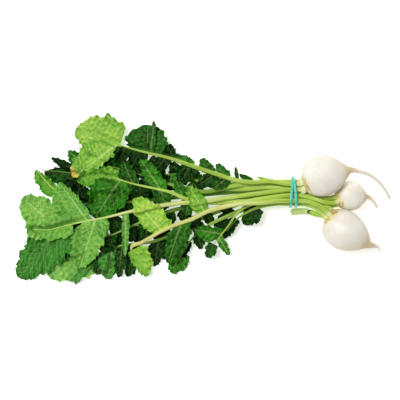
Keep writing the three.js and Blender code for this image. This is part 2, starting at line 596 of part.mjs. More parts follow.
// Outline of the tied stalks across the bunch, in even steps, from its -Y side over the top.
function bundleOutline(lines, steps) {
  const reach = stalkRadius + clearance + bandThickness / 2;
  const circlePoints = 24;
  const spots = [];
  for (const line of lines) {
    for (const p of line.filter((q) => Math.abs(q.x - bandX) < bandSpread + bandWidth + fineStep)) {
      for (let s = 0; s < circlePoints; s += 1) {
        const angle = (2 * Math.PI * s) / circlePoints;
        spots.push([p.y + reach * Math.cos(angle), p.z + reach * Math.sin(angle)]);
      }
    }
  }
  const middleZ = spots.reduce((sum, s) => sum + s[1], 0) / spots.length;
  const middle = new THREE.Vector2(bundleY, middleZ);
  spots.sort((a, b) => a[0] - b[0] || a[1] - b[1]);
  const turn = (o, a, b) => (a[0] - o[0]) * (b[1] - o[1]) - (a[1] - o[1]) * (b[0] - o[0]);
  const chain = (list) => {
    const hull = [];
    for (const s of list) {
      while (hull.length > 1 && turn(hull[hull.length - 2], hull[hull.length - 1], s) <= 0) hull.pop();
      hull.push(s);
    }
    return hull.slice(0, -1);
  };
  const hull = [...chain(spots), ...chain([...spots].reverse())];
  const closed = new THREE.Path(hull.map(([y, z]) => new THREE.Vector2(y, z)));
  closed.closePath();
  const even = closed.getSpacedPoints(steps * 4).slice(0, -1);
  return Array.from({ length: steps }, (unused, k) => {
    const angle = Math.PI - (2 * Math.PI * k) / steps;
    const way = new THREE.Vector2(Math.cos(angle), Math.sin(angle));
    return even.reduce((best, p) => {
      const score = p.clone().sub(middle).normalize().dot(way);
      return score > best.score ? { score, p } : best;
    }, { score: -2, p: null }).p;
  });
}

// Rubber band: one loop wound twice round the stalks, its turns crossing at the +Y side.
function bandGeometry(lines) {
  const steps = 33;
  const outline = bundleOutline(lines, steps);
  const rings = [];
  for (let k = 0; k < 2 * steps; k += 1) {
    const at = outline[k % steps];
    const before = outline[(k + steps - 1) % steps];
    const after = outline[(k + 1) % steps];
    const out = new THREE.Vector2(before.y - after.y, after.x - before.x).normalize();
    const half = (Math.PI * k) / steps;
    const x = bandX + bandSpread * Math.cos(half);
    const lift = bandCrossing * (1 + Math.sin(half));
    rings.push([[1, 1], [-1, 1], [-1, -1], [1, -1]].map(([w, h]) => {
      const rise = lift + (h * bandThickness) / 2;
      return new THREE.Vector3(x + (w * bandWidth) / 2, at.x + out.x * rise, at.y + out.y * rise);
    }));
  }
  const index = [];
  for (let k = 0; k < rings.length; k += 1) {
    for (let s = 0; s < 4; s += 1) {
      const a = k * 4 + s;
      const b = k * 4 + ((s + 1) % 4);
      const c = ((k + 1) % rings.length) * 4 + ((s + 1) % 4);
      const d = ((k + 1) % rings.length) * 4 + s;
      index.push(a, b, c, a, c, d);
    }
  }
  const geometry = new THREE.BufferGeometry();
  const points = rings.flat().flatMap((p) => [p.x, p.y, p.z]);
  geometry.setAttribute('position', new THREE.Float32BufferAttribute(points, 3));
  geometry.setIndex(index);
  return geometryOf(solidOf(solidOf(geometry).volume() < 0 ? flipped(geometry) : geometry));
}

// Stalks and blades, laid in order
const laid = leaves.map((leaf, order) => {
  const midrib = midribPlan(leaf);
  const radii = midrib.map((p, k) => {
    return THREE.MathUtils.lerp(stalkRadius, tipRadius, Math.pow(k / (midrib.length - 1), 3));
  });
  const seatZ = bundleZ + (leaf.seat[1] * seatPitch * Math.sqrt(3)) / 2;
  layMidrib(midrib, radii, seatZ, loftStep * order);
  const kept = midrib.map((p, k) => k).filter((k) => k % keptEvery === 0 || k === midrib.length - 1);
  const blades = leaf.lobes.map((lobe, n) => lobeGeometry(lobe, midrib, n % 3));
  layOnField(tube(kept.map((k) => midrib[k]), kept.map((k) => radii[k]), stalkSides));
  blades.forEach(layOnField);
  return { leaf, midrib, radii, kept, blades };
});

const crownParts = crownLines(laid);

const bunch = new THREE.Group();
function addPiece(name, geometry, finish) {
  const mesh = new THREE.Mesh(geometry, new THREE.MeshStandardMaterial(finish));
  mesh.name = name;
  bunch.add(mesh);
}

for (const [name, bulb] of Object.entries(bulbs)) {
  addPiece(`turnip_${name}`, bulbGeometry(bulb), finishes.root);
}

laid.forEach(({ leaf, midrib, radii, kept, blades }, n) => {
  const start = crownParts[n].slice(0, -1).filter((p, k) => k === 0 || k % 2 === 1);
  const points = [...start, ...kept.map((k) => midrib[k])];
  const thickness = [...start.map(() => stalkRadius), ...kept.map((k) => radii[k])];
  let solid = solidOf(tube(points, thickness, stalkSides));
  for (const lobe of blades) solid = solid.add(solidOf(lobe));
  addPiece(leaf.name, oneBody(solid), finishes.leaf);
});

addPiece('broken_stalk', stumpGeometry(), finishes.leaf);
addPiece('rubber_band', bandGeometry(laid.map(({ midrib }, n) => [...crownParts[n], ...midrib.slice(1)])),
  finishes.band);

export default bunch;
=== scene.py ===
import math
from types import SimpleNamespace

import bpy
import numpy as np
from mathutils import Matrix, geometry


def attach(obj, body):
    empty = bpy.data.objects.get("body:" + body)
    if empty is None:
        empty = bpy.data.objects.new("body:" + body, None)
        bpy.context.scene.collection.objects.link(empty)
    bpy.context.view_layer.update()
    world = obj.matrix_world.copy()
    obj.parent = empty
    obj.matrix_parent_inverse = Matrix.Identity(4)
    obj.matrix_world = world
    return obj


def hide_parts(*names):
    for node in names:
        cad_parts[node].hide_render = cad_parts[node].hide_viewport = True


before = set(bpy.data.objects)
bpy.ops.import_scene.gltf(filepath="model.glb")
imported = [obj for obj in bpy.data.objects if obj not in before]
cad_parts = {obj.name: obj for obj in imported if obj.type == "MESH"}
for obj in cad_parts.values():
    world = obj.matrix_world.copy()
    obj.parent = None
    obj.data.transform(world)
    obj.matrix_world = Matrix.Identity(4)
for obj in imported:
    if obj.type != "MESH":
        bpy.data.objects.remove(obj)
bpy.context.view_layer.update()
mm = 0.001
chance = np.random.default_rng(41)

# Camera, in mm: straight above the place it aims at, with a field as wide as stated there
view = {"height": 2400, "aimX": -2.9, "aimY": 0.6, "aimZ": 15, "fieldWidth": 460}


def addCamera():
    camera = bpy.data.cameras.new("camera")
    camera.sensor_width = 36
    camera.lens = camera.sensor_width * view["height"] / view["fieldWidth"]
    cameraObject = bpy.data.objects.new("camera", camera)
    cameraObject.location = (view["aimX"] * mm, view["aimY"] * mm, (view["aimZ"] + view["height"]) * mm)
    bpy.context.scene.collection.objects.link(cameraObject)
    bpy.context.scene.camera = cameraObject


addCamera()
print("camera placed")


# Eased step from 0 at low to 1 at high: 3t^2 - 2t^3
def ease(x, low, high):
    t = np.clip((x - low) / (high - low), 0, 1)
    return t * t * (3 - 2 * t)


def blend(a, b, share):
    return a + (b - a) * share


def unit(v):
    return v / np.maximum(np.linalg.norm(v, axis=-1, keepdims=True), 1e-9)


# Sum of ten sine waves with wavelengths from short to long mm, each in its own direction:
# h(x, y) = sum of sin(kx x + ky y + phase) / sqrt(10), mostly within -1..1
def ripples(x, y, shortWave, longWave):
    waves = 10
    length = chance.uniform(shortWave, longWave, waves)
    heading = chance.uniform(0, 2 * np.pi, waves)
    phase = chance.uniform(0, 2 * np.pi, waves)
    total = np.zeros_like(x)
    for n in range(waves):
        across = x * np.cos(heading[n]) + y * np.sin(heading[n])
        total += np.sin(2 * np.pi * across / length[n] + phase[n])
    return total / math.sqrt(waves)


# Centripetal Catmull-Rom line through given points, resampled in even steps:
# each span is the cubic c0 + c1 t + c2 t^2 + c3 t^3 whose end slopes follow its neighbours
def smoothLine(points, step):
    p = np.array(points, float)
    p = np.vstack([2 * p[0] - p[1], p, 2 * p[-1] - p[-2]])
    gap = np.sqrt(np.linalg.norm(np.diff(p, axis=0), axis=1))[:, None]
    p0, p1, p2, p3 = p[:-3], p[1:-2], p[2:-1], p[3:]
    d0, d1, d2 = gap[:-2], gap[1:-1], gap[2:]
    slope1 = ((p1 - p0) / d0 - (p2 - p0) / (d0 + d1) + (p2 - p1) / d1) * d1
    slope2 = ((p2 - p1) / d1 - (p3 - p1) / (d1 + d2) + (p3 - p2) / d2) * d1
    t = np.linspace(0, 1, 30, endpoint=False)[None, :, None]
    c2 = -3 * p1 + 3 * p2 - 2 * slope1 - slope2
    c3 = 2 * p1 - 2 * p2 + slope1 + slope2
    dense = p1[:, None] + slope1[:, None] * t + c2[:, None] * t ** 2 + c3[:, None] * t ** 3
    dense = np.vstack([dense.reshape(-1, p.shape[1]), p[-2]])
    return evenSteps(dense, step)


# The same line with points at even distances along it
def evenSteps(dense, step):
    run = np.concatenate([[0], np.cumsum(np.linalg.norm(np.diff(dense, axis=0), axis=1))])
    spots = np.linspace(0, run[-1], max(int(round(run[-1] / step)), 2) + 1)
    return np.stack([np.interp(spots, run, dense[:, k]) for k in range(dense.shape[1])], axis=1)


# Distance along a line of points, from its first one
def runOf(path):
    return np.concatenate([[0], np.cumsum(np.linalg.norm(np.diff(path, axis=0), axis=1))])


# A skin carried along a path: point(i, j) = path_i + r_ij (side_i cos a_j + rise_i sin a_j), with
# side square to the path and level, rise square to both, and a middle point closing each end
def sweep(path, radius, sides):
    along = unit(np.gradient(path, axis=0))
    side = unit(np.cross([0, 0, 1], along))
    rise = np.cross(along, side)
    angle = 2 * np.pi * np.arange(sides) / sides
    radius = np.broadcast_to(radius if np.ndim(radius) == 2 else radius[:, None], (len(path), sides))
    ring = side[:, None] * np.cos(angle)[None, :, None] + rise[:, None] * np.sin(angle)[None, :, None]
    skin = path[:, None] + radius[..., None] * ring
    points = np.vstack([skin.reshape(-1, 3), path[0], path[-1]])
    row = np.arange(sides)
    nextOne = (row + 1) % sides
    start = np.arange(len(path) - 1)[:, None] * sides
    quads = np.stack([start + row, start + nextOne, start + nextOne + sides, start + row + sides], axis=-1)
    last = (len(path) - 1) * sides
    first = np.stack([np.full(sides, len(points) - 2), nextOne, row], axis=-1)
    end = np.stack([np.full(sides, len(points) - 1), last + row, last + nextOne], axis=-1)
    return points, [quads.reshape(-1, 4), first, end]


# Spreads one value for each ring, or one for each skin point, over all points of a sweep
def overSkin(values, sides):
    values = np.asarray(values, float)
    if values.ndim == 1:
        values = np.repeat(values[:, None], sides, axis=1)
    return np.concatenate([values.reshape(-1), [values[0].mean(), values[-1].mean()]])


# Map of a sweep in mm: the run along it, and the way round it at one radius
def skinMap(run, radius, sides):
    around = np.tile(2 * np.pi * np.arange(sides) / sides * radius, (len(run), 1))
    return np.column_stack([overSkin(run, sides), overSkin(around, sides)])


# A thin sheet between two like grids, closed round its rim. Rows run along, columns to the left.
def sheetFaces(rows, columns):
    index = np.arange(rows * columns).reshape(rows, columns)
    count = rows * columns
    corner = [index[:-1, :-1], index[1:, :-1], index[1:, 1:], index[:-1, 1:]]
    below = np.stack(corner[::-1], axis=-1).reshape(-1, 4)
    above = np.stack(corner, axis=-1).reshape(-1, 4) + count
    rim = np.concatenate([index[:-1, 0], index[-1, :-1], index[:0:-1, -1], index[0, :0:-1]])
    after = np.roll(rim, -1)
    side = np.stack([rim, after, after + count, rim + count], axis=-1)
    return np.vstack([above, below, side])


# Puts points in mm, faces, one number for each point and a map in mm into a new mesh, which takes the
# place of its CAD node
def addPiece(name, points, faces, slotName, nodeName, numbers, layout):
    mesh = bpy.data.meshes.new(name)
    corners = np.concatenate([part.reshape(-1) for part in faces]).astype(np.int32)
    sizes = np.concatenate([np.full(len(part), part.shape[1]) for part in faces])
    mesh.vertices.add(len(points))
    mesh.vertices.foreach_set("co", (points * mm).astype(np.float32).reshape(-1))
    mesh.loops.add(len(corners))
    mesh.loops.foreach_set("vertex_index", corners)
    mesh.polygons.add(len(sizes))
    mesh.polygons.foreach_set("loop_start", np.concatenate([[0], np.cumsum(sizes)[:-1]]).astype(np.int32))
    mesh.polygons.foreach_set("use_smooth", np.ones(len(sizes), bool))
    mesh.update(calc_edges=True)
    for label, values in numbers.items():
        attribute = mesh.attributes.new(label, "FLOAT", "POINT")
        attribute.data.foreach_set("value", np.asarray(values, np.float32))
    uvMap = mesh.uv_layers.new(name="surface")
    uvMap.data.foreach_set("uv", layout[corners].astype(np.float32).reshape(-1))
    mesh.set_sharp_from_angle(angle=math.radians(65))
    mesh.materials.append(finishes[slotName])
    piece = bpy.data.objects.new(name, mesh)
    bpy.context.scene.collection.objects.link(piece)
    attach(piece, "root")
    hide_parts(nodeName)


# sRGB hex to linear colour
def colour(code):
    parts = [int(code[k:k + 2], 16) / 255 for k in (1, 3, 5)]
    return [p / 12.92 if p <= 0.04045 else ((p + 0.055) / 1.055) ** 2.4 for p in parts] + [1]


# One node: its kind without the prefix ShaderNode, its inputs as numbers or links, its settings, and
# its stops where it is a colour ramp
def node(tree, kind, inputs, settings={}, stops=()):
    made = tree.nodes.new("ShaderNode" + kind)
    for key, value in settings.items():
        setattr(made, key, value)
    for key, value in inputs.items():
        if isinstance(value, bpy.types.NodeSocket):
            tree.links.new(value, made.inputs[key])
        else:
            made.inputs[key].default_value = value
    for n, (place, code) in enumerate(stops):
        stop = made.color_ramp.elements[n] if n < 2 else made.color_ramp.elements.new(place)
        stop.position = place
        stop.color = colour(code)
    return made


def newMaterial(name):
    material = bpy.data.materials.new(name)
    material.use_nodes = True
    material.node_tree.nodes.clear()
    return material, material.node_tree


# Joins a surface shader to the material's output
def finishMaterial(tree, inputs):
    shader = node(tree, "BsdfPrincipled", inputs)
    node(tree, "OutputMaterial", {"Surface": shader.outputs[0]})


# Settings of nodes that mix colours, with the share at input 0 and the colours at 6 and 7, or numbers
mixColour = {"data_type": "RGBA"}
multiplyColour = {"data_type": "RGBA", "blend_type": "MULTIPLY"}
plus, times = {"operation": "ADD"}, {"operation": "MULTIPLY"}
timesPlus, larger = {"operation": "MULTIPLY_ADD"}, {"operation": "MAXIMUM"}


# Turnip leaf blade, fresh: a crinkled, slightly waxy skin, matt in the hollows of its vein net, so
# the eye gets soft broken highlights, pale veins and patches of deeper green
def leafBlade():
    material, tree = newMaterial("turnip leaf blade")
    patchSize, netSize, grainSize = 16, 4.2, 1.1     # mm: patches, vein net and skin grain
    place = node(tree, "TexCoord", {})
    tone, vein, under, cool, ripe = [node(tree, "Attribute", {}, {"attribute_name": label})
                                     for label in ("tone", "vein", "under", "cool", "ripe")]
    patch = node(tree, "TexNoise", {"Vector": place.outputs["Object"], "Scale": 1000 / patchSize,
                                    "Detail": 3, "Roughness": 0.6})
    shifted = node(tree, "Math", {0: patch.outputs["Fac"], 1: 0.5, 2: -0.25}, timesPlus)
    # the tone attribute carries painted light and shade from the mesh: lighter crests, darker hollows,
    # darker leaves low in the pile
    toned = node(tree, "Math", {0: tone.outputs["Fac"], 1: shifted.outputs[0]}, plus)
    green = node(tree, "ValToRGB", {0: toned.outputs[0]}, {},
                 [(0, "#042A04"), (1, "#C6E858"), (0.2, "#0E5C07"), (0.45, "#2C920E"), (0.72, "#78BE36")])
    net = node(tree, "TexVoronoi", {"Vector": place.outputs["UV"], "Scale": 1 / netSize},
               {"feature": "DISTANCE_TO_EDGE"})
    netLine = node(tree, "MapRange", {"Value": net.outputs["Distance"], "From Min": 0, "From Max": 0.22,
                                      "To Min": 1, "To Max": 0})
    netShare = node(tree, "Math", {0: toned.outputs[0], 1: 0.2}, times)
    lines = node(tree, "Math", {0: netLine.outputs[0], 1: netShare.outputs[0]}, times)
    pale = node(tree, "Math", {0: vein.outputs["Fac"], 1: lines.outputs[0]}, larger)
    veined = node(tree, "Mix", {0: pale.outputs[0], 6: green.outputs[0], 7: colour("#CEE88E")}, mixColour)
    chill = node(tree, "Math", {0: cool.outputs["Fac"], 1: toned.outputs[0]}, times)
    cooled = node(tree, "Mix", {0: chill.outputs[0], 6: veined.outputs[2], 7: colour("#8CC68C")},
                  mixColour)
    ripened = node(tree, "Mix", {0: ripe.outputs["Fac"], 6: cooled.outputs[2], 7: colour("#E9CF6A")},
                   mixColour)
    dulled = node(tree, "Math", {0: under.outputs["Fac"], 1: 0.45}, times)
    sided = node(tree, "Mix", {0: dulled.outputs[0], 6: ripened.outputs[2], 7: colour("#9DBB7C")},
                 mixColour)
    grain = node(tree, "TexNoise", {"Vector": place.outputs["UV"], "Scale": 1 / grainSize, "Detail": 2})
    puffs = node(tree, "MapRange", {"Value": net.outputs["Distance"], "From Min": 0, "From Max": 0.5})
    relief = node(tree, "Math", {0: grain.outputs["Fac"], 1: 0.25, 2: puffs.outputs[0]}, timesPlus)
    bump = node(tree, "Bump", {"Height": relief.outputs[0], "Distance": 1.2 * mm, "Strength": 0.8})
    sheen = node(tree, "MapRange", {"Value": grain.outputs["Fac"], "To Min": 0.36, "To Max": 0.56})
    finishMaterial(tree, {"Base Color": sided.outputs[2], "Roughness": sheen.outputs[0], "IOR": 1.42,
                          "Specular IOR Level": 0.12, "Normal": bump.outputs[0]})
    return material


# Turnip leaf stalk, fresh: juicy ribbed skin, smooth and waxy, so highlights run along the ribs; it is
# whitish in the crown, yellow-green through the tie and a paler or a greener rib in the leaf
def leafStalk():
    material, tree = newMaterial("turnip leaf stalk")
    streakWidth, streakLength, patchSize = 1.1, 26, 22     # mm
    place = node(tree, "TexCoord", {})
    rib, base = [node(tree, "Attribute", {}, {"attribute_name": label})
                 for label in ("rib", "base")]
    green = node(tree, "ValToRGB", {0: rib.outputs["Fac"]}, {},
                 [(0, "#2F6E1A"), (1, "#F4E69C"), (0.3, "#84B63E"), (0.55, "#CDEA70"), (0.8, "#E6F0A2")])
    scaled = node(tree, "Mapping", {"Vector": place.outputs["UV"],
                                    "Scale": (1 / streakLength, 1 / streakWidth, 1)})
    streak = node(tree, "TexNoise", {"Vector": scaled.outputs[0], "Scale": 1, "Detail": 3})
    shade = node(tree, "ValToRGB", {0: streak.outputs["Fac"]}, {}, [(0.3, "#BFD08C"), (0.7, "#FFFFFF")])
    patch = node(tree, "TexNoise", {"Vector": place.outputs["Object"], "Scale": 1000 / patchSize})
    warm = node(tree, "ValToRGB", {0: patch.outputs["Fac"]}, {}, [(0.35, "#FFFFFF"), (0.75, "#F0EFB8")])
    streaked = node(tree, "Mix", {0: 0.75, 6: green.outputs[0], 7: shade.outputs[0]}, multiplyColour)
    warmed = node(tree, "Mix", {0: 0.6, 6: streaked.outputs[2], 7: warm.outputs[0]}, multiplyColour)
    white = node(tree, "Mix", {0: base.outputs["Fac"], 6: warmed.outputs[2], 7: colour("#EEEEC2")},
                 mixColour)
    bump = node(tree, "Bump", {"Height": streak.outputs["Fac"], "Distance": 0.35 * mm, "Strength": 0.6})
    finishMaterial(tree, {"Base Color": white.outputs[2], "Roughness": 0.38, "IOR": 1.4,
                          "Specular IOR Level": 0.5, "Normal": bump.outputs[0]})
    return material


# Turnip skin, washed: thin and smooth over white flesh that lets a little light in, so it looks
# soft and creamy, tan towards the taproot, with painted shade in the same tan on the flanks, with faint
# rings, and yellow with rusty creases at the crown
def turnipSkin():
    material, tree = newMaterial("turnip skin")
    cloudSize, ringPitch, ringLength, speckSize = 14, 2.6, 60, 3.1      # mm
    place = node(tree, "TexCoord", {})
    tanAndShade, crown, rust = [node(tree, "Attribute", {}, {"attribute_name": label})
                        for label in ("tanAndShade", "crown", "rust")]
    cloud = node(tree, "TexNoise", {"Vector": place.outputs["Object"], "Scale": 1000 / cloudSize,
                                    "Detail": 3})
    skin = node(tree, "ValToRGB", {0: cloud.outputs["Fac"]}, {}, [(0.3, "#F2EDE2"), (0.62, "#FAF8F3")])
    ringMap = node(tree, "Mapping", {"Vector": place.outputs["UV"],
                                     "Scale": (1 / ringPitch, 1 / ringLength, 1)})
    ring = node(tree, "TexNoise", {"Vector": ringMap.outputs[0], "Scale": 1, "Detail": 2})
    ringShade = node(tree, "ValToRGB", {0: ring.outputs["Fac"]}, {},
                     [(0.35, "#D9CBB0"), (0.55, "#FFFFFF")])
    ringShare = node(tree, "Math", {0: tanAndShade.outputs["Fac"], 1: 0.8, 2: 0.02}, timesPlus)
    ringed = node(tree, "Mix", {0: ringShare.outputs[0], 6: skin.outputs[0], 7: ringShade.outputs[0]},
                  multiplyColour)
    # the tan colour is also painted shade on the bulbs' flanks, away from the key light
    tannedAndShaded = node(tree, "Mix", {0: tanAndShade.outputs["Fac"], 6: ringed.outputs[2], 7: colour("#D8C296")},
                  mixColour)
    yellow = node(tree, "Mix", {0: crown.outputs["Fac"], 6: tannedAndShaded.outputs[2], 7: colour("#EBDD86")},
                  mixColour)
    speck = node(tree, "TexVoronoi", {"Vector": place.outputs["Object"], "Scale": 1000 / speckSize})
    dot = node(tree, "MapRange", {"Value": speck.outputs["Distance"], "From Min": 0.02, "From Max": 0.12,
                                  "To Min": 0.35, "To Max": 0})
    marks = node(tree, "Math", {0: rust.outputs["Fac"], 1: dot.outputs[0]}, larger)
    marked = node(tree, "Mix", {0: marks.outputs[0], 6: yellow.outputs[2], 7: colour("#A0692C")},
                  mixColour)
    bump = node(tree, "Bump", {"Height": ring.outputs["Fac"], "Distance": 0.3 * mm, "Strength": 0.35})
    finishMaterial(tree, {"Base Color": marked.outputs[2], "Roughness": 0.42, "IOR": 1.42,
                          "Specular IOR Level": 0.4, "Subsurface Weight": 0.12,
                          "Subsurface Radius": (4 * mm, 2.5 * mm, 1.5 * mm), "Subsurface Scale": 1,
                          "Normal": bump.outputs[0]})
    return material


# Natural rubber, dipped and coloured: a smooth skin with a dull chalky bloom, bright where it is stretched
def bandRubber():
    material, tree = newMaterial("dyed natural rubber")
    bloomSize = 1.25     # mm
    place = node(tree, "TexCoord", {})
    bloom = node(tree, "TexNoise", {"Vector": place.outputs["UV"], "Scale": 1 / bloomSize,
                                    "Detail": 3})
    dyed = node(tree, "ValToRGB", {0: bloom.outputs["Fac"]}, {}, [(0.35, "#2DBFB0"), (0.7, "#5ADCCD")])
    bump = node(tree, "Bump", {"Height": bloom.outputs["Fac"], "Distance": 0.15 * mm, "Strength": 0.5})
    finishMaterial(tree, {"Base Color": dyed.outputs[0], "Roughness": 0.4, "IOR": 1.52,
                          "Normal": bump.outputs[0]})
    return material


# Matt white paper sheet, so the bunch stands on plain white
def floorSheet():
    material, tree = newMaterial("white sheet")
    finishMaterial(tree, {"Base Color": colour("#FBFBFA"), "Roughness": 0.9,
                          "Emission Color": colour("#FFFFFF"), "Emission Strength": 0.5})
    return material


# One material for each slot of the record
finishes = {"leaf_green": leafBlade(), "stalk_green": leafStalk(), "root_skin": turnipSkin(),
            "band_rubber": bandRubber()}
print("materials made")

# The tied bunch, in mm
bunch = {
    "clearance": 0.45,          # air between two pieces that lie on each other
    "stalkRadius": 2.7,         # leaf stalk, from the crown to the blade
    "tipRadius": 0.75,          # midrib at the leaf's tip
    "seatPitch": 6.3,           # step between stalks side by side in the tie
    "solidThickness": 1.1,      # room that each blade takes in the pile
    "bandX": 104, "middleY": 9.2, "middleZ": 17.5,
    "fallLength": 170,          # stretch over which the stalks sink from the tie
    "loftStep": 2.2,            # each further leaf keeps this much more height past that stretch
    "tipLoft": 0.3,             # share of that height left at the leaf's tip
    "lineStep": 3,
}

# Bulbs: the axis from the pole to the root base, the taproot's further points, the widest radius and its
# share of the length, the crown's way from there, its stalks and their ring, and the half outline from
# the pole to the root base as shares of the length and of the radius
bulbs = {
    "lower": {"pole": (140.9, -21, 22.8), "base": (190.5, -50.5, 22), "radius": 22.9, "ring": 4.9,
              "stalks": 4, "turn": 0, "rootRadius": (2.6, 0.8),
              "root": [(197, -51.6, 19.5), (202, -54, 17.5), (204.4, -58.5, 16)],
              "widest": 0.4, "crownWay": (-0.66, 0.72, 0.05),
              "outline": [(0, 0.12), (0.015, 0.34), (0.05, 0.57), (0.13, 0.79), (0.26, 0.94), (0.4, 1),
                          (0.53, 0.975), (0.64, 0.885), (0.75, 0.74), (0.85, 0.56), (0.93, 0.38),
                          (1, 0.2)]},
    "middle": {"pole": (151.6, 6, 17), "base": (189.8, 4.5, 16.2), "radius": 16.9, "ring": 4.7,
               "stalks": 4, "turn": 0.38, "rootRadius": (1.9, 1.6),
               "root": [(195, 1, 14.5), (198.5, -3.5, 11.5), (201, -8, 9.5)],
               "widest": 0.47, "crownWay": (-0.93, -0.3, 0.2),
               "outline": [(0, 0.12), (0.02, 0.31), (0.06, 0.52), (0.13, 0.73), (0.24, 0.89),
                           (0.36, 0.985), (0.48, 1), (0.62, 0.95), (0.76, 0.79), (0.87, 0.54),
                           (0.95, 0.28), (1, 0.15)]},
    "upper": {"pole": (114.4, 22.8, 30), "base": (168.8, 34.9, 36.5), "radius": 23.2, "ring": 5.6,
              "stalks": 5, "turn": -0.19, "rootRadius": (2.2, 1.5),
              "root": [(180.4, 32.9, 35), (188.4, 30.4, 33), (196.4, 26, 30), (203.5, 19.6, 26),
                       (209.9, 11.6, 21.5), (215.2, 1.7, 17)],
              "widest": 0.41, "crownWay": (-0.89, -0.43, -0.35),
              "outline": [(0, 0.12), (0.015, 0.33), (0.05, 0.58), (0.12, 0.78), (0.22, 0.91), (0.36, 1),
                          (0.5, 0.985), (0.64, 0.885), (0.757, 0.7), (0.855, 0.47), (0.937, 0.27),
                          (1, 0.16)]},
}
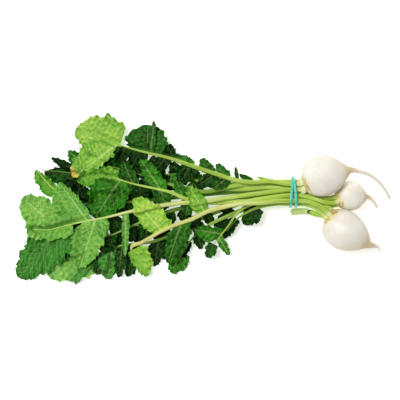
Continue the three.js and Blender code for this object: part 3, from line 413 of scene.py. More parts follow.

# Leaves, the lowest first. seat is the place in the tie: across the bunch and up, in stalk widths.
# midrib is the plan of the stalk beyond the tie. Each lobe is its root on the midrib, its tip, its width
# to the left and to the right of that line, how far its end is lifted, and its tone from 0, deep green
# with painted shade, to 1, yellow green. The lowest tones are partly painted shade: dark lobes laid in
# the pile's gaps where there is only shade.
leaves = [
    {"node": "leaf_01", "bulb": "upper", "spoke": 4, "seat": (1.5, -1),
     "midrib": [(55, 19), (26, 19), (-3, 22), (-37, 27), (-72, 32), (-106, 33), (-135, 30), (-162, 33),
                (-185, 35)],
     "lobes": [(-141, 30, -183, 32, 15, 8, -2, 0.25), (-139, 30, -175, 49, 4.5, 6, 0, 0.2),
               (-129, 30, -155, 58, 10, 8, 0, 0.45), (-97, 33, -111, 50, 9, 9, 2, 0.1),
               (-60, 29, -73, 45, 9, 9, 2, 0.1), (-79, 32, -88, 16, 9, 9, 0, 0.15),
               (-30, 26, -40, 12, 8, 8, 0, 0.15)]},
    {"node": "leaf_02", "bulb": "middle", "spoke": 3, "seat": (0.5, -1),
     "midrib": [(55, 11), (22, 9), (-9, 6), (-49, 2), (-89, -2), (-124, -5), (-155, 1), (-175, 16),
                (-191, 34)],
     "lobes": [(-168, 11, -193, 35, 12, 5, 2, 0.6), (-146, -2, -142, 21, 11, 11, 2, 0.2),
               (-162, 6, -152, 24, 7, 7, 2, 0.15), (-145, -2, -162, -17, 10.5, 10.5, 0, 0.3),
               (-118, -5, -127, 13, 12, 12, 2, 0.2), (-104, -4, -106, -26, 8, 8, -2, 0.1),
               (-83, -2, -95, -17, 10.5, 10.5, 0, 0.15), (-43, 3, -52, -11, 9, 9, 0, 0.15),
               (-118, -5, -140, -13, 7, 7, 0, 0.05), (-78, -1, -91, 13, 9, 9, 0, 0.05),
               (-50, 2, -64, 15, 8, 8, 0, 0.05), (-138, -3, -133, 15, 7, 7, 0, 0.05)]},
    {"node": "leaf_03", "bulb": "middle", "spoke": 2, "seat": (-0.5, -1),
     "midrib": [(84, 6), (66, 3.5), (45, -3), (20, -11.5), (-3, -21), (-21, -30), (-40, -41), (-60, -48),
                (-94, -52), (-114, -58), (-135, -71), (-157, -82)],
     "lobes": [(-120, -63, -179, -86, 20, 18, -2, 0.75), (-128, -67, -147, -97, 4, 8, -3, 0.5),
               (-114, -60, -122, -86, 8, 8, -3, 0.3), (-103, -55, -110, -91, 12, 12.5, -4, 0.5),
               (-82, -51, -86, -88, 11, 9, -4, 0.2), (-93, -52, -97, -89, 8, 7, -4, 0.25),
               (-95, -52, -104, -32, 8, 8, 3, 0.1), (-72, -49, -80, -27, 7, 7, 3, 0.15),
               (-50, -45, -55, -76, 8, 11, -3, 0.2), (-36, -39, -45, -68, 7, 7, -3, 0.2),
               (-38, -40, -60, -38, 8, 8, 0, 0.05)]},
    {"node": "leaf_04", "bulb": "lower", "spoke": 3, "seat": (-1.5, -1),
     "midrib": [(84, -0.5), (66, -4), (43, -12), (22, -21), (3, -31), (-12, -44), (-22, -59), (-34, -78)],
     "lobes": [(-22, -59, -36, -84, 12, 10.5, -3, 0.45), (-14, -47, -23, -66, 4, 7, -3, 0.12),
               (36, -15, 20, -9, 6, 6, 1, 0.1), (-3, -34, -14, -19, 8, 8, 3, 0.2),
               (-7, -39, -1, -56, 6, 7, -3, 0.2), (11, -25, 2, -13, 6, 6, 2, 0.2),
               (27, -19, 13, -30, 6, 6, -2, 0.1)]},
    {"node": "leaf_05", "bulb": "middle", "spoke": 0, "seat": (0, 0),
     "midrib": [(55, 5), (22, 2), (-9, -5), (-43, -14), (-78, -28), (-106, -40), (-135, -45), (-164, -49)],
     "lobes": [(-136, -45, -178, -53, 16, 14, -2, 0.25), (-106, -40, -117, -59, 10.5, 10.5, -2, 0.2),
               (-93, -34, -104, -19, 10.5, 10.5, 2, 0.15), (-60, -21, -67, -45, 11, 11, -2, 0.2),
               (-80, -29, -80, -12, 8, 8, 2, 0.1), (-84, -31, -82, -48, 7, 7, -2, 0.12),
               (-37, -13, -46, -35, 10, 10, -1, 0.15), (-18, -8, -24, -24, 8, 8, -2, 0.12),
               (-120, -43, -153, -25, 9, 9, 0, 0.05)]},
    {"node": "leaf_06", "bulb": "lower", "spoke": 2, "seat": (-2, 0),
     "midrib": [(84, -3.5), (70, -6), (56, -11), (39, -22), (28, -35)],
     "lobes": [(64, -8, 48, -28, 10.5, 11, -4, 0.2), (40, -21, 25, -44, 5, 8, -4, 0.15),
               (33, -28, 19, -33, 7, 7, -3, 0.1)]},
    {"node": "leaf_07", "bulb": "lower", "spoke": 0, "seat": (-1, 0),
     "midrib": [(84, 2.5), (68, 0), (52, -5.5), (40, -14), (31, -27), (22, -39), (13, -50)],
     "lobes": [(22, -39, -12, -33, 11.5, 7, -1, 0.4), (19, -42, 31, -63, 5, 5, -4, 0.5),
               (14, -49, 5, -66, 7, 7, -4, 0.25)]},
    {"node": "leaf_08", "bulb": "upper", "spoke": 3, "seat": (1, 0),
     "midrib": [(73, 15), (47, 13), (22, 14), (3, 19), (-14, 26), (-30, 30), (-49, 29), (-65, 33),
                (-83, 43)],
     "lobes": [(-58, 30, -86, 47, 10.5, 10.5, 3, 0.12), (-3, 21, -14, 7, 8, 8, 0, 0.3),
               (-5, 22, -12, 35, 7, 7, 2, 0.15), (-25, 30, -36, 43, 9, 8, 2.5, 0.12),
               (-41, 30, -48, 18, 8, 8, -1, 0.15)]},
    {"node": "leaf_09", "bulb": "upper", "spoke": 0, "seat": (2, 0),
     "midrib": [(84, 21.3), (66, 20.5), (47, 18.5), (22, 14), (3, 10), (-14, 13), (-35, 18), (-60, 26),
                (-86, 34), (-109, 40)],
     "lobes": [(-93, 36, -122, 43, 9, 9, 2, 0.15), (-70, 29, -82, 45, 8, 8, 3, 0.12),
               (-48, 22, -58, 51, 10, 9, 3, 0.15), (-60, 26, -73, 11, 8, 8, -1, 0.15),
               (-26, 16, -37, 29, 7, 7, 3, 0.45)]},
    {"node": "leaf_10", "bulb": "upper", "spoke": 1, "seat": (1.5, 1),
     "midrib": [(78, 22), (55, 21), (39, 23), (20, 29), (-7, 38), (-39, 49), (-56, 53), (-72, 57),
                (-86, 61), (-101, 66), (-118, 73), (-134, 78)],
     "lobes": [(-95, 63, -147, 80, 19, 28.5, 6, 0.85), (-99, 62, -150, 27, 9, 23, 2, 0.8),
               (-62, 55, -63, 87, 26, 23.5, 4, 0.3), (-60, 54, -55.5, 91.5, 4.5, 4.5, 5, 0.3),
               (-72, 57, -80, 40, 12, 12, -5, 0.08), (-90, 62, -98, 44, 9, 9, -4, 0.1),
               (-33, 47, -40, 64, 9, 7, 2, 0.12), (-10, 39, -35, 52, 3.5, 7, 2, 0.4),
               (13, 32, -2, 48, 8, 6, 2, 0.3), (30, 27, 16, 42, 6, 6, 2, 0.4),
               (40, 24, 38, 39, 3, 2, 3, 0.2), (58, 21, 42, 30, 3.5, 3.5, 2, 0.3),
               (78, 22, 62, 27, 2, 2, 3, 0.95), (14, 30, -7, 16, 9, 7, -2, 0.15),
               (-14, 40, -27, 18, 10.5, 10.5, -4, 0.15), (30, 26, 12, 14, 7, 6, -1, 0.25),
               (-42, 49, -55, 32, 9, 9, -5, 0.1)]},
    {"node": "leaf_11", "bulb": "middle", "spoke": 1, "seat": (-0.5, 1),
     "midrib": [(73, 3), (49, -1), (26, -2), (6, -2), (-19, 2), (-35, 9), (-51, 13), (-79, 19),
                (-104, 26), (-122, 28), (-139, 25)],
     "lobes": [(-95, 23, -144, 24, 12, 15, 3, 0.7), (-79, 19, -91, 45, 11.5, 9, 3, 0.25),
               (-49, 12, -71, 47, 9, 10.5, 5, 0.45), (-49, 12, -42, -7, 10.5, 12, -1, 0.3),
               (-70, 17, -72, -4, 12, 12, -3, 0.08), (-94, 22, -125, -20, 20, 24, 3, 0.38),
               (-21, 3, -30, 22, 7, 7, 4, 0.4), (-18, 2, -19, -18, 7, 7, -1, 0.3)]},
    {"node": "leaf_12", "bulb": "upper", "spoke": 2, "seat": (0.5, 1),
     "midrib": [(63, 8), (27, 3), (3, -1), (-26, -3), (-49, -6), (-80, -12), (-118, -21), (-135, -24),
                (-162, -30), (-178, -34), (-194, -33)],
     "lobes": [(-167, -32, -208, 3, 23, 20, 4, 0.74), (-133, -22, -165, 21, 25, 8, 3, 0.65),
               (-159, -32, -213, -89, 25, 22, -2, 0.44), (-122, -22, -142, -78, 17, 19.5, -2, 0.7),
               (-150, -28, -203, -38, 14, 15, 2, 0.7), (-116, -21, -113, -43, 9, 7, 1, 0.6),
               (-89, -14, -89, -64, 4.5, 4.5, -3, 0.6)]},
    {"node": "leaf_13", "bulb": "lower", "spoke": 1, "seat": (-1.5, 1),
     "midrib": [(84, -0.5), (66, -2.5), (50, -3), (34, -5), (7, -12), (-14, -22), (-34, -29), (-58, -41),
                (-72, -49), (-81, -52), (-82, -58), (-77, -66), (-71, -75), (-66, -83)],
     "lobes": [(1, -13, -16, 17, 10.5, 8, 5, 0.75), (-48, -35, -79, 2, 12.5, 17, 5, 0.9),
               (-24, -26, -40, -72, 15, 10.5, -4, 0.3), (-80, -58, -65, -88, 18, 6, -1, 0.8)]},
]

# The pile: the top of everything laid so far, on a grid of cells 1 mm wide
pile = {"minX": -225, "minY": -115, "sizeX": 460, "sizeY": 240}
top = np.zeros((pile["sizeY"], pile["sizeX"]))


def cellsOf(x, y):
    i = np.clip(np.rint(x - pile["minX"]).astype(int), 0, pile["sizeX"] - 1)
    j = np.clip(np.rint(y - pile["minY"]).astype(int), 0, pile["sizeY"] - 1)
    return j, i


def layOnPile(x, y, z):
    np.maximum.at(top, cellsOf(x, y), z)


# A smooth cloth over the pile that is nowhere below it: the highest cell within reach of each cell,
# then the mean of those within the same reach
def clothOver(reach):
    raised = top
    for axis in (0, 1):
        raised = np.max([np.roll(raised, k, axis) for k in range(-reach, reach + 1)], axis=0)
    for axis in (0, 1):
        raised = np.mean([np.roll(raised, k, axis) for k in range(-reach, reach + 1)], axis=0)
    return raised


# Value of a grid between its cells: the mean of the four nearest, by nearness
def readGrid(grid, x, y):
    a = np.clip(x - pile["minX"], 0, pile["sizeX"] - 1.001)
    b = np.clip(y - pile["minY"], 0, pile["sizeY"] - 1.001)
    i, j = a.astype(int), b.astype(int)
    a, b = a - i, b - j
    low = grid[j, i] * (1 - a) + grid[j, i + 1] * a
    high = grid[j + 1, i] * (1 - a) + grid[j + 1, i + 1] * a
    return low * (1 - b) + high * b


# Highest, then mean, of the values within reach of each one along a line
def spreadAlong(values, reach):
    for pick in (np.max, np.mean):
        padded = np.pad(values, reach, mode="edge")
        values = pick(np.lib.stride_tricks.sliding_window_view(padded, 2 * reach + 1), axis=1)
    return values


# Plan of a stalk and midrib, from the tie to the tip, with its radius: it thins by the cube of its run
def midribPlan(leaf):
    y = bunch["middleY"] + leaf["seat"][0] * bunch["seatPitch"]
    start = [(bunch["bandX"] + 5, y), (bunch["bandX"] - 6, y)]
    plan = smoothLine(start + leaf["midrib"], bunch["lineStep"])
    t = np.linspace(0, 1, len(plan))
    return plan, blend(bunch["stalkRadius"], bunch["tipRadius"], t ** 3)


# Height of a midrib: over what lies under it, else sinking smoothly from its seat in the tie to a
# loft that grows with the order of laying: z = max(need, seat + (r + loft - seat) ease(run))
def layMidrib(leaf, order):
    plan, radius = midribPlan(leaf)
    room = radius + 1.3 * bunch["clearance"]
    offset = np.stack(np.meshgrid(np.arange(-4, 5), np.arange(-4, 5)), axis=-1).reshape(-1, 2)
    away = np.hypot(offset[:, 0], offset[:, 1])[None, :]
    under = top[cellsOf(plan[:, :1] + offset[:, 0], plan[:, 1:] + offset[:, 1])]
    over = under + np.sqrt(np.maximum(room[:, None] ** 2 - away ** 2, 0))
    touching = (under > 0) & (away < room[:, None])
    need = np.maximum(np.where(touching, over, 0).max(axis=1), radius)
    share = np.linspace(0, 1, len(plan))
    loft = bunch["loftStep"] * order * blend(1, bunch["tipLoft"], ease(share, 0.6, 1))
    seat = bunch["middleZ"] + leaf["seat"][1] * math.sqrt(3) / 2 * bunch["seatPitch"]
    fall = ease(np.arange(len(plan)) * bunch["lineStep"], 0, bunch["fallLength"])
    z = np.maximum(spreadAlong(need, 5), blend(seat, radius + loft, fall))
    return np.column_stack([plan, z]), radius


# Leaf blades, in mm
blade = {
    "thickness": 0.5,
    "cell": 0.95,               # grid step, mm
    "toothPitch": 6.6,          # along the margin
    "toothDepth": 2.6,
    "sideVeinPitch": 7.5,
    "sideVeinSlant": 0.84,      # how far a side vein moves forward for each mm outward
    "puffHeight": 1.3,          # between side veins
    "crinkleHeight": 0.8,
    "crinkleWaves": (3.6, 8),   # shortest and longest
    "marginWave": 1.7,
    "marginPitch": 15,
    "veinWidth": 0.55,
    "rounding": 2,              # where a drooping sheet meets the pile
    "droop": 0.3,               # fall for each mm outward, until it meets the pile
    "paintedPileShade": 0.14,          # painted shade: how much darker the lowest leaves in the pile are painted
    "cool": {"leaf_12": 0.22, "leaf_10": 0.1, "leaf_03": 0.3},
    "ripeTip": ("leaf_10", 1),  # the lobe with a yellow tip
}


# Share of a lobe's width at a share u of its length: broad foot, full middle, blunt tip:
# max(sin(pi (0.12 + 0.88 u)^0.8)^0.5, 0.04)
def lobeWidth(u):
    return np.maximum(np.sin(np.pi * np.minimum(0.12 + 0.88 * u, 1) ** 0.8).clip(0) ** 0.5, 0.04)


# Distance from each place to the midrib, and the midrib's height and radius there
def nearestRib(fineRib, x, y):
    gap = (x.reshape(-1, 1) - fineRib[:, 0]) ** 2 + (y.reshape(-1, 1) - fineRib[:, 1]) ** 2
    at = np.argmin(gap, axis=1)
    distance = np.sqrt(gap[np.arange(len(at)), at])
    return distance.reshape(x.shape), fineRib[at, 2].reshape(x.shape), fineRib[at, 3].reshape(x.shape)


# Plan of a lobe over u along and v across: root + way (s + tooth) + across d, where s = u length and
# d = v width(u) (1 + waves) + tooth, with the teeth pointing forward at the margin
def lobePlan(lobe, midrib):
    rootX, rootY, tipX, tipY, left, right = lobe[:6]
    near = int(np.argmin(np.hypot(midrib[:, 0] - rootX, midrib[:, 1] - rootY)))
    root = midrib[near]
    reach = np.array([tipX, tipY]) - root[:2]
    length = float(np.hypot(*reach))
    way = reach / length
    ribWay = unit(midrib[min(near + 2, len(midrib) - 1), :2] - midrib[max(near - 2, 0), :2])
    square = np.array([-way[1], way[0]])
    foot = ribWay * (1 if ribWay @ square >= 0 else -1)
    endLobe = abs(ribWay @ way) > 0.8
    rows = int(length / blade["cell"]) + 3
    columns = 2 * max(int((left + right) / blade["cell"] / 2), 4) + 1
    u = np.linspace(0, 1, rows)[:, None]
    v = np.linspace(-1, 1, columns)[None, :]
    s = u * length
    phase = chance.uniform(0, 2 * np.pi, 6)
    warped = s + 1.1 * np.sin(0.5 * s + phase[0]) + np.where(v < 0, 2.3, 0)
    tooth = (warped / blade["toothPitch"] + phase[1]) % 1
    tooth = 0.75 * tooth ** 1.4 + 0.25 * ((2.3 * warped / blade["toothPitch"] + phase[2]) % 1) - 0.45
    inside = ease(u, 0.02, 0.12) * (1 - 0.5 * ease(u, 0.9, 1))
    size = min(1, (left + right) / 16)
    teeth = blade["toothDepth"] * size * tooth * inside * np.abs(v) ** 5
    longSwell, shortSwell = 2 * np.pi * s / 19, 2 * np.pi * s / 10      # one every 19 and every 10 mm
    swell = 1 + 0.07 * np.sin(longSwell + phase[3] + v) + 0.05 * np.sin(shortSwell + phase[4])
    wide = np.where(v < 0, right, left) * lobeWidth(u)
    d = v * wide * blend(1, swell, inside) + np.sign(v) * teeth
    turn = np.ones_like(u) if endLobe else ease(u, 0, 0.45)
    across = unit(blend(foot, square, turn))
    forward = s + 0.9 * np.maximum(teeth, 0)
    x = root[0] + way[0] * forward + across[:, 0:1] * d
    y = root[1] + way[1] * forward + across[:, 1:2] * d
    return SimpleNamespace(u=u, v=v, s=s, d=d, x=x, y=y, root=root, length=length, size=size,
                           endLobe=endLobe, phase=phase)


# Height of a lobe: the higher of the drooping sheet a and the cloth b over the pile, rounded where they
# meet, (a + b + sqrt((a - b)^2 + rounding^2)) / 2; a side lobe's foot stays at its midrib
def restOnPile(plan, lift, cloth):
    fold = chance.uniform(-0.05, 0.16)
    twist = chance.uniform(-0.12, 0.12)
    away = np.maximum(plan.s - 6, 0)
    sheet = plan.root[2] - 0.5 * bunch["solidThickness"] - blade["droop"] * away + lift * plan.u
    sheet = sheet + (fold * np.abs(plan.d) + twist * plan.d) * ease(plan.u, 0, 0.4)
    rest = readGrid(cloth, plan.x, plan.y) + bunch["clearance"]
    z = 0.5 * (sheet + rest + np.sqrt((sheet - rest) ** 2 + blade["rounding"] ** 2))
    if plan.endLobe:
        return z
    return blend(z, np.maximum(plan.root[2] - 0.5, sheet), 1 - ease(plan.s, 1, 6))


# Veins of a lobe: the distance from the nearest side vein, which slants forward as it runs out, how far
# a place lies in between, from 0 to 1, and the strength of the middle vein, exp(-(d / width)^2)
def veinsOf(plan):
    pitch = blade["sideVeinPitch"]
    outward = np.abs(plan.d)
    slantRun = plan.s - blade["sideVeinSlant"] * outward - 0.012 * plan.d ** 2
    slantRun = slantRun + np.where(plan.v < 0, 0.45, 0) * pitch
    veinStep = slantRun / pitch + plan.phase[5]
    veinAway = np.abs(veinStep - np.rint(veinStep)) * pitch * 0.77      # square to the slanted vein
    between = (1 - np.exp(-(veinAway / 1.5) ** 2)) * (1 - np.exp(-(plan.d / 1.6) ** 2))
    width = (0.3 + plan.length / 55) * (1.15 - plan.u)
    midVein = np.exp(-(plan.d / width) ** 2) * (0.3 if plan.endLobe else 1)
    return veinAway, between, midVein


# What rises from the sheet, never below it: puffs between the side veins, crinkles and margin waves
def reliefOf(plan, between, crinkle):
    wave = 2 * np.pi * (plan.s + 3 * np.sin(0.2 * plan.s)) / blade["marginPitch"]
    wave = np.sin(wave + plan.phase[4] + 1.2 * plan.v)
    relief = blade["puffHeight"] * between * (0.75 + 0.35 * crinkle)
    relief = relief + blade["crinkleHeight"] * (crinkle + 1) * np.abs(plan.v) ** 0.5
    relief = relief + blade["marginWave"] * (0.6 + wave) * np.abs(plan.v) ** 2.5 * ease(plan.u, 0.1, 0.4)
    return np.maximum(relief, 0) * ease(plan.s, 1, 7) * plan.size


# One lobe of a blade: its plan laid on the pile, with its relief, hung under its midrib, and made a thin
# sheet of two skins with the numbers that the material reads
def lobeSheet(lobe, midrib, fineRib, cloth, depth, cool, isRipe):
    lift, tone = lobe[6:]
    # painted shade: lobes low in the pile, unless light green, are painted darker
    tone = tone - blade["paintedPileShade"] * depth * (1 - ease(tone, 0.3, 0.6))
    plan = lobePlan(lobe, midrib)
    z = restOnPile(plan, lift, cloth)
    veinAway, between, midVein = veinsOf(plan)
    crinkle = ripples(plan.x, plan.y, *blade["crinkleWaves"])
    z = z + reliefOf(plan, between, crinkle) + 0.5 * plan.size * midVein * ease(plan.s, 1, 4)
    ribAway, ribZ, ribRadius = nearestRib(fineRib, plan.x, plan.y)
    below = ribZ - 0.5 * ribRadius - 0.5 * bunch["solidThickness"]
    z = blend(z, np.minimum(z, below), 1 - ease(ribAway, ribRadius, ribRadius + 5))
    layOnPile(plan.x, plan.y, z + bunch["solidThickness"])

    low = 0.5 * (bunch["solidThickness"] - blade["thickness"])
    lower = np.stack([plan.x, plan.y, z + low], axis=-1).reshape(-1, 3)
    upper = lower + [0, 0, blade["thickness"]]
    thin = 1 - ease(np.abs(plan.v), 0.55, 0.95)
    sideVein = np.exp(-(veinAway / blade["veinWidth"]) ** 2) * 0.55 * thin * plan.size
    vein = np.maximum(0.95 * midVein, sideVein) * (0.04 + 1.05 * min(max(tone, 0), 0.85))
    # painted light and shade: crinkle crests painted lighter, hollows along the veins painted darker
    shade = tone + 0.09 * crinkle - 0.12 * (1 - between) * (1 - vein)
    ripe = ease(plan.u, 0.86, 0.95) if isRipe else 0 * plan.u
    flat = 0 * z
    spread = {"tone": shade + flat, "vein": vein + flat, "cool": cool + flat, "ripe": ripe + flat}
    numbers = {label: np.tile(values.reshape(-1), 2) for label, values in spread.items()}
    numbers["under"] = np.repeat([1.0, 0.0], z.size)
    offset = chance.uniform(0, 300, 2)
    layout = np.tile(np.stack([plan.s + flat, plan.d + flat], axis=-1).reshape(-1, 2) + offset, (2, 1))
    return np.vstack([lower, upper]), sheetFaces(*z.shape), numbers, layout


# The blade of one leaf: all its lobes in one mesh
def addBlade(leaf, midrib, fineRib, depth):
    points, faces, layouts = [], [], []
    numbers = {"tone": [], "vein": [], "under": [], "cool": [], "ripe": []}
    cool = blade["cool"].get(leaf["node"], 0)
    count = 0
    for n, lobe in enumerate(leaf["lobes"]):
        isRipe = (leaf["node"], n) == blade["ripeTip"]
        made = lobeSheet(lobe, midrib, fineRib, clothOver(2), depth, cool, isRipe)
        lobePoints, lobeFaces, lobeNumbers, lobeLayout = made
        points.append(lobePoints)
        faces.append(lobeFaces + count)
        layouts.append(lobeLayout)
        for label in numbers:
            numbers[label].append(lobeNumbers[label])
        count += len(lobePoints)
    numbers = {label: np.concatenate(values) for label, values in numbers.items()}
    addPiece(leaf["node"] + "_blade", np.vstack(points), faces, "leaf_green", leaf["node"], numbers,
             np.vstack(layouts))


# Lays the leaves one on another: each one's blade, and then its midrib, goes onto the pile
laid = []
for order, leaf in enumerate(leaves):
    midrib, radius = layMidrib(leaf, order)
    fine = evenSteps(np.column_stack([midrib, radius]), 0.8)
    addBlade(leaf, midrib, fine, 1 - order / len(leaves))
    acrossRib = np.linspace(-1, 1, 5)
    level = unit(np.column_stack([-np.gradient(fine[:, 1]), np.gradient(fine[:, 0])]))
    for share in acrossRib:
        aside = fine[:, :2] + level * share * fine[:, 3:4]
        layOnPile(aside[:, 0], aside[:, 1], fine[:, 2] + fine[:, 3] * math.sqrt(1 - share * share))
    laid.append((leaf, midrib, radius))
print("blades laid:", len(laid), "leaves, pile", round(float(top.max()), 1), "mm high")


stalk = {
    "sides": 18,
    "step": 1.6,                # mm
    "pushRounds": 300,          # in which the stalks move apart behind the tie
    "ribs": 9,
    "groove": 0.16,             # depth of the channel on top, share of the radius
    "ribbing": 0.045,           # height of the fine ribs, share of the radius
    "flare": 0.22,              # widening in the crown, share of the radius
    "sunk": 4,                  # how far a stalk starts inside the crown, mm
    "paleLength": {"upper": 20, "middle": 9, "lower": 10},     # whitish stretch at the crown, mm
    "tieTone": 0.6,             # about the middle of the tones, from 0, green, to 1, straw
    "toneStart": 55, "toneEnd": 130,       # run in which a stalk takes its own tone, mm
    "ribTones": {"leaf_01": 0.25, "leaf_02": 0.3, "leaf_03": 0.4, "leaf_04": 0.45, "leaf_05": 0.35,
                 "leaf_06": 0.35, "leaf_07": 0.5, "leaf_08": 0.3, "leaf_09": 0.35, "leaf_10": 0.5,
                 "leaf_11": 0.6, "leaf_12": 0.82, "leaf_13": 0.94},
    "tipTones": {"leaf_02": 1, "leaf_10": 0.45, "leaf_11": 0.4, "leaf_12": 0.75, "leaf_13": 0.4},
    "tipThinning": 0.5,         # how much thinner than its solid a midrib gets
    # the yellow bend of one midrib: its place and length as shares of the line
    "hook": {"node": "leaf_13", "share": 0.86, "length": 0.03, "swelling": 0.5, "thinning": 0.65},
}


# Where a stalk leaves its bulb, on a ring round the crown, and the way it goes
def crownSeat(bulb, angle, ring):
    middle = blend(np.array(bulb["pole"]), np.array(bulb["base"]), bulb["widest"])
    away = unit(np.array(bulb["crownWay"]))
    side = unit(np.cross(away, [0, 0, 1]))
    rise = np.cross(side, away)
    crown = middle + away * (bulb["radius"] + 2 * bunch["clearance"])
    return crown + side * ring * math.cos(angle) + rise * ring * math.sin(angle), away


# Cubic Bezier line: (1-t)^3 a + 3(1-t)^2 t b + 3(1-t) t^2 c + t^3 d
def bezier(a, b, c, d, step):
    t = np.linspace(0, 1, 60)[:, None]
    line = (1 - t) ** 3 * a + 3 * (1 - t) ** 2 * t * b + 3 * (1 - t) * t ** 2 * c + t ** 3 * d
    return evenSteps(line, step)


# Stalks between the crowns and the tie: Bezier lines, then pushed apart, and off the other bulbs, in
# many small rounds, square to the bunch
def crownLines():
    lines = []
    for leaf, midrib, radius in laid:
        bulb = bulbs[leaf["bulb"]]
        angle = bulb["turn"] + 2 * math.pi * leaf["spoke"] / bulb["stalks"]
        seat, away = crownSeat(bulb, angle, bulb["ring"])
        end = midrib[0]
        reach = float(np.linalg.norm(seat - end)) * 0.4
        foot = seat + away * 1.5
        lines.append(np.vstack([seat, bezier(foot, foot + away * reach, end + [reach, 0, 0], end, 3)]))
    owner = np.concatenate([np.full(len(line), n) for n, line in enumerate(lines)])
    free = np.concatenate([[k >= 2 and k < len(line) - 1 for k in range(len(line))] for line in lines])
    spots = np.vstack(lines)
    moving = spots[free]
    whose = owner[free]
    apart = 2 * bunch["stalkRadius"] + bunch["clearance"]
    for step in range(stalk["pushRounds"]):
        gap = moving[None, :] - moving[:, None]
        short = np.where(whose[None, :] != whose[:, None], apart - np.linalg.norm(gap, axis=2), 0).clip(0)
        gap[..., 0] = 0
        moving = moving - (unit(gap) * (0.3 * short)[..., None]).sum(axis=1)
        for name, bulb in bulbs.items():
            axis = np.array(bulb["base"]) - bulb["pole"]
            share = ((moving - bulb["pole"]) @ axis) / (axis @ axis)
            out = moving - (bulb["pole"] + share[:, None] * axis)
            outline = np.array(bulb["outline"])
            wide = np.interp(share, outline[:, 0], outline[:, 1]) * bulb["radius"]
            inside = wide + bunch["stalkRadius"] + 2 * bunch["clearance"] - np.linalg.norm(out, axis=1)
            others = np.array([laid[n][0]["bulb"] != name for n in whose])
            near = (share > -0.05) & (share < 1) & others
            out[:, 0] = 0
            moving = moving + unit(out) * (0.5 * inside.clip(0) * near)[:, None]
    spots[free] = moving
    return [spots[owner == n] for n in range(len(lines))]


# Stalk and midrib: radius (1 + ribbing cos(ribs a) - groove near the top) (1 + flare at the crown), which
# thins towards the tip, and on one leaf swells into a hook
def addStalk(leaf, start, midrib, radius):
    away = unit(start[0] - start[1])
    line = np.vstack([start[0] + away * stalk["sunk"], start[:-1], midrib])
    size = np.concatenate([np.full(len(start), bunch["stalkRadius"]), radius])
    whole = evenSteps(np.column_stack([line, size]), stalk["step"])
    path, size = smoothed(whole[:, :3], 2), whole[:, 3]
    share = np.linspace(0, 1, len(path))
    hook = stalk["hook"]
    thinned = stalk["tipThinning"] * ease(share, 0.5, 0.88)
    if leaf["node"] == hook["node"]:
        thinned = hook["thinning"] * ease(share, hook["share"], hook["share"] + 0.05)
    bulge = hook["swelling"] * np.exp(-((share - hook["share"]) / hook["length"]) ** 2)
    bulge = bulge if leaf["node"] == hook["node"] else 0 * share
    path[:, 2] -= 0.6 * size * thinned
    size = size * (1 - thinned + bulge)
    angle = 2 * np.pi * np.arange(stalk["sides"]) / stalk["sides"]
    run = runOf(path)
    fromTop = angle - np.pi / 2
    shape = 1 + stalk["ribbing"] * np.cos(stalk["ribs"] * angle)
    shape = shape - stalk["groove"] * np.exp(-(fromTop / 0.4) ** 2)
    shape = shape[None, :] * (1 + stalk["flare"] * np.exp(-(run / 7) ** 2))[:, None]
    rough = 1 + 0.02 * np.sin(run / 5)[:, None] + 0.015 * np.sin(run / 2.3 + 2)[:, None]
    points, faces = sweep(path, size[:, None] * shape * rough, stalk["sides"])
    atTie = stalk["tieTone"] + 0.08 * math.sin(5 * len(path))
    tone = stalk["ribTones"][leaf["node"]]
    rib = blend(atTie, tone, ease(run, stalk["toneStart"], stalk["toneEnd"]))
    rib = blend(rib, stalk["tipTones"].get(leaf["node"], tone), ease(share, 0.83, 0.92)) + 0.5 * bulge
    # painted shade: the channel on top of the stalk is painted a darker green
    groove = -0.12 * np.exp(-(fromTop / 0.35) ** 2)
    pale = 0.95 * (1 - ease(run, 2, stalk["paleLength"][leaf["bulb"]]))
    numbers = {"rib": overSkin(rib[:, None] + groove[None, :], stalk["sides"]),
               "base": overSkin(pale, stalk["sides"])}
    layout = skinMap(run, bunch["stalkRadius"], stalk["sides"])
    addPiece(leaf["node"] + "_stalk", points, faces, "stalk_green", leaf["node"], numbers, layout)
    return path


# Each inner point drawn halfway to the middle of its neighbours, a few times over
def smoothed(path, rounds):
    path = path.copy()
    for step in range(rounds):
        path[1:-1] = 0.5 * path[1:-1] + 0.25 * (path[:-2] + path[2:])
    return path


starts = crownLines()
stalkPaths = [addStalk(leaf, start, midrib, radius) for (leaf, midrib, radius), start in zip(laid, starts)]
print("stalks made:", len(stalkPaths))


turnip = {
    "sides": 96,
    "step": 0.7,                # along the axis, mm
    "capRings": 4,              # that close the pole
    "mapRadius": 10,            # of the map round it, mm
    "ringPitch": 2.4,           # mm
    "unevenness": 0.012,        # slow swell round and along, share of the radius
    "rings": 0.1,               # height of the fine rings, mm
    "poleHeight": 0.3,          # of the rounded end, mm
    "lumps": 1.1,               # height of the lumps round the crown, mm
    "crownSpread": {"lower": 1.2, "middle": 1, "upper": 1.3},      # size of the yellow crown
    "crownLift": {"lower": 4, "middle": 1, "upper": 9},            # how far it reaches over the top, mm
}


# Path and radius of a bulb and its taproot: the straight axis and then the bent root, with the outline's
# radius, which eases into the root's own thin taper
def bodyOf(bulb, pole, base, length):
    outline = smoothLine([(u * length, r * bulb["radius"]) for u, r in bulb["outline"]], 0.5)
    rootLine = smoothLine([tuple(pole + (base - pole) * 0.93), bulb["base"]] + bulb["root"], 1)
    rootLine = rootLine[runOf(rootLine) > 0.07 * length]
    axisRun = np.arange(0, length, turnip["step"])
    path = np.vstack([pole + (base - pole) * (axisRun / length)[:, None], rootLine])
    path = evenSteps(path, turnip["step"])
    run = runOf(path)
    bulbRadius = np.interp(run, outline[:, 0], outline[:, 1])
    rootShare = ease(run, length, run[-1])
    rootRadius = blend(bulb["rootRadius"][0], bulb["rootRadius"][1], rootShare)
    joined = bulb["outline"][-1][1] * bulb["radius"]
    tail = rootRadius + (joined - rootRadius) * np.exp(-np.maximum(run - length, 0) / 5)
    return path, run, np.where(run < length, bulbRadius, tail)


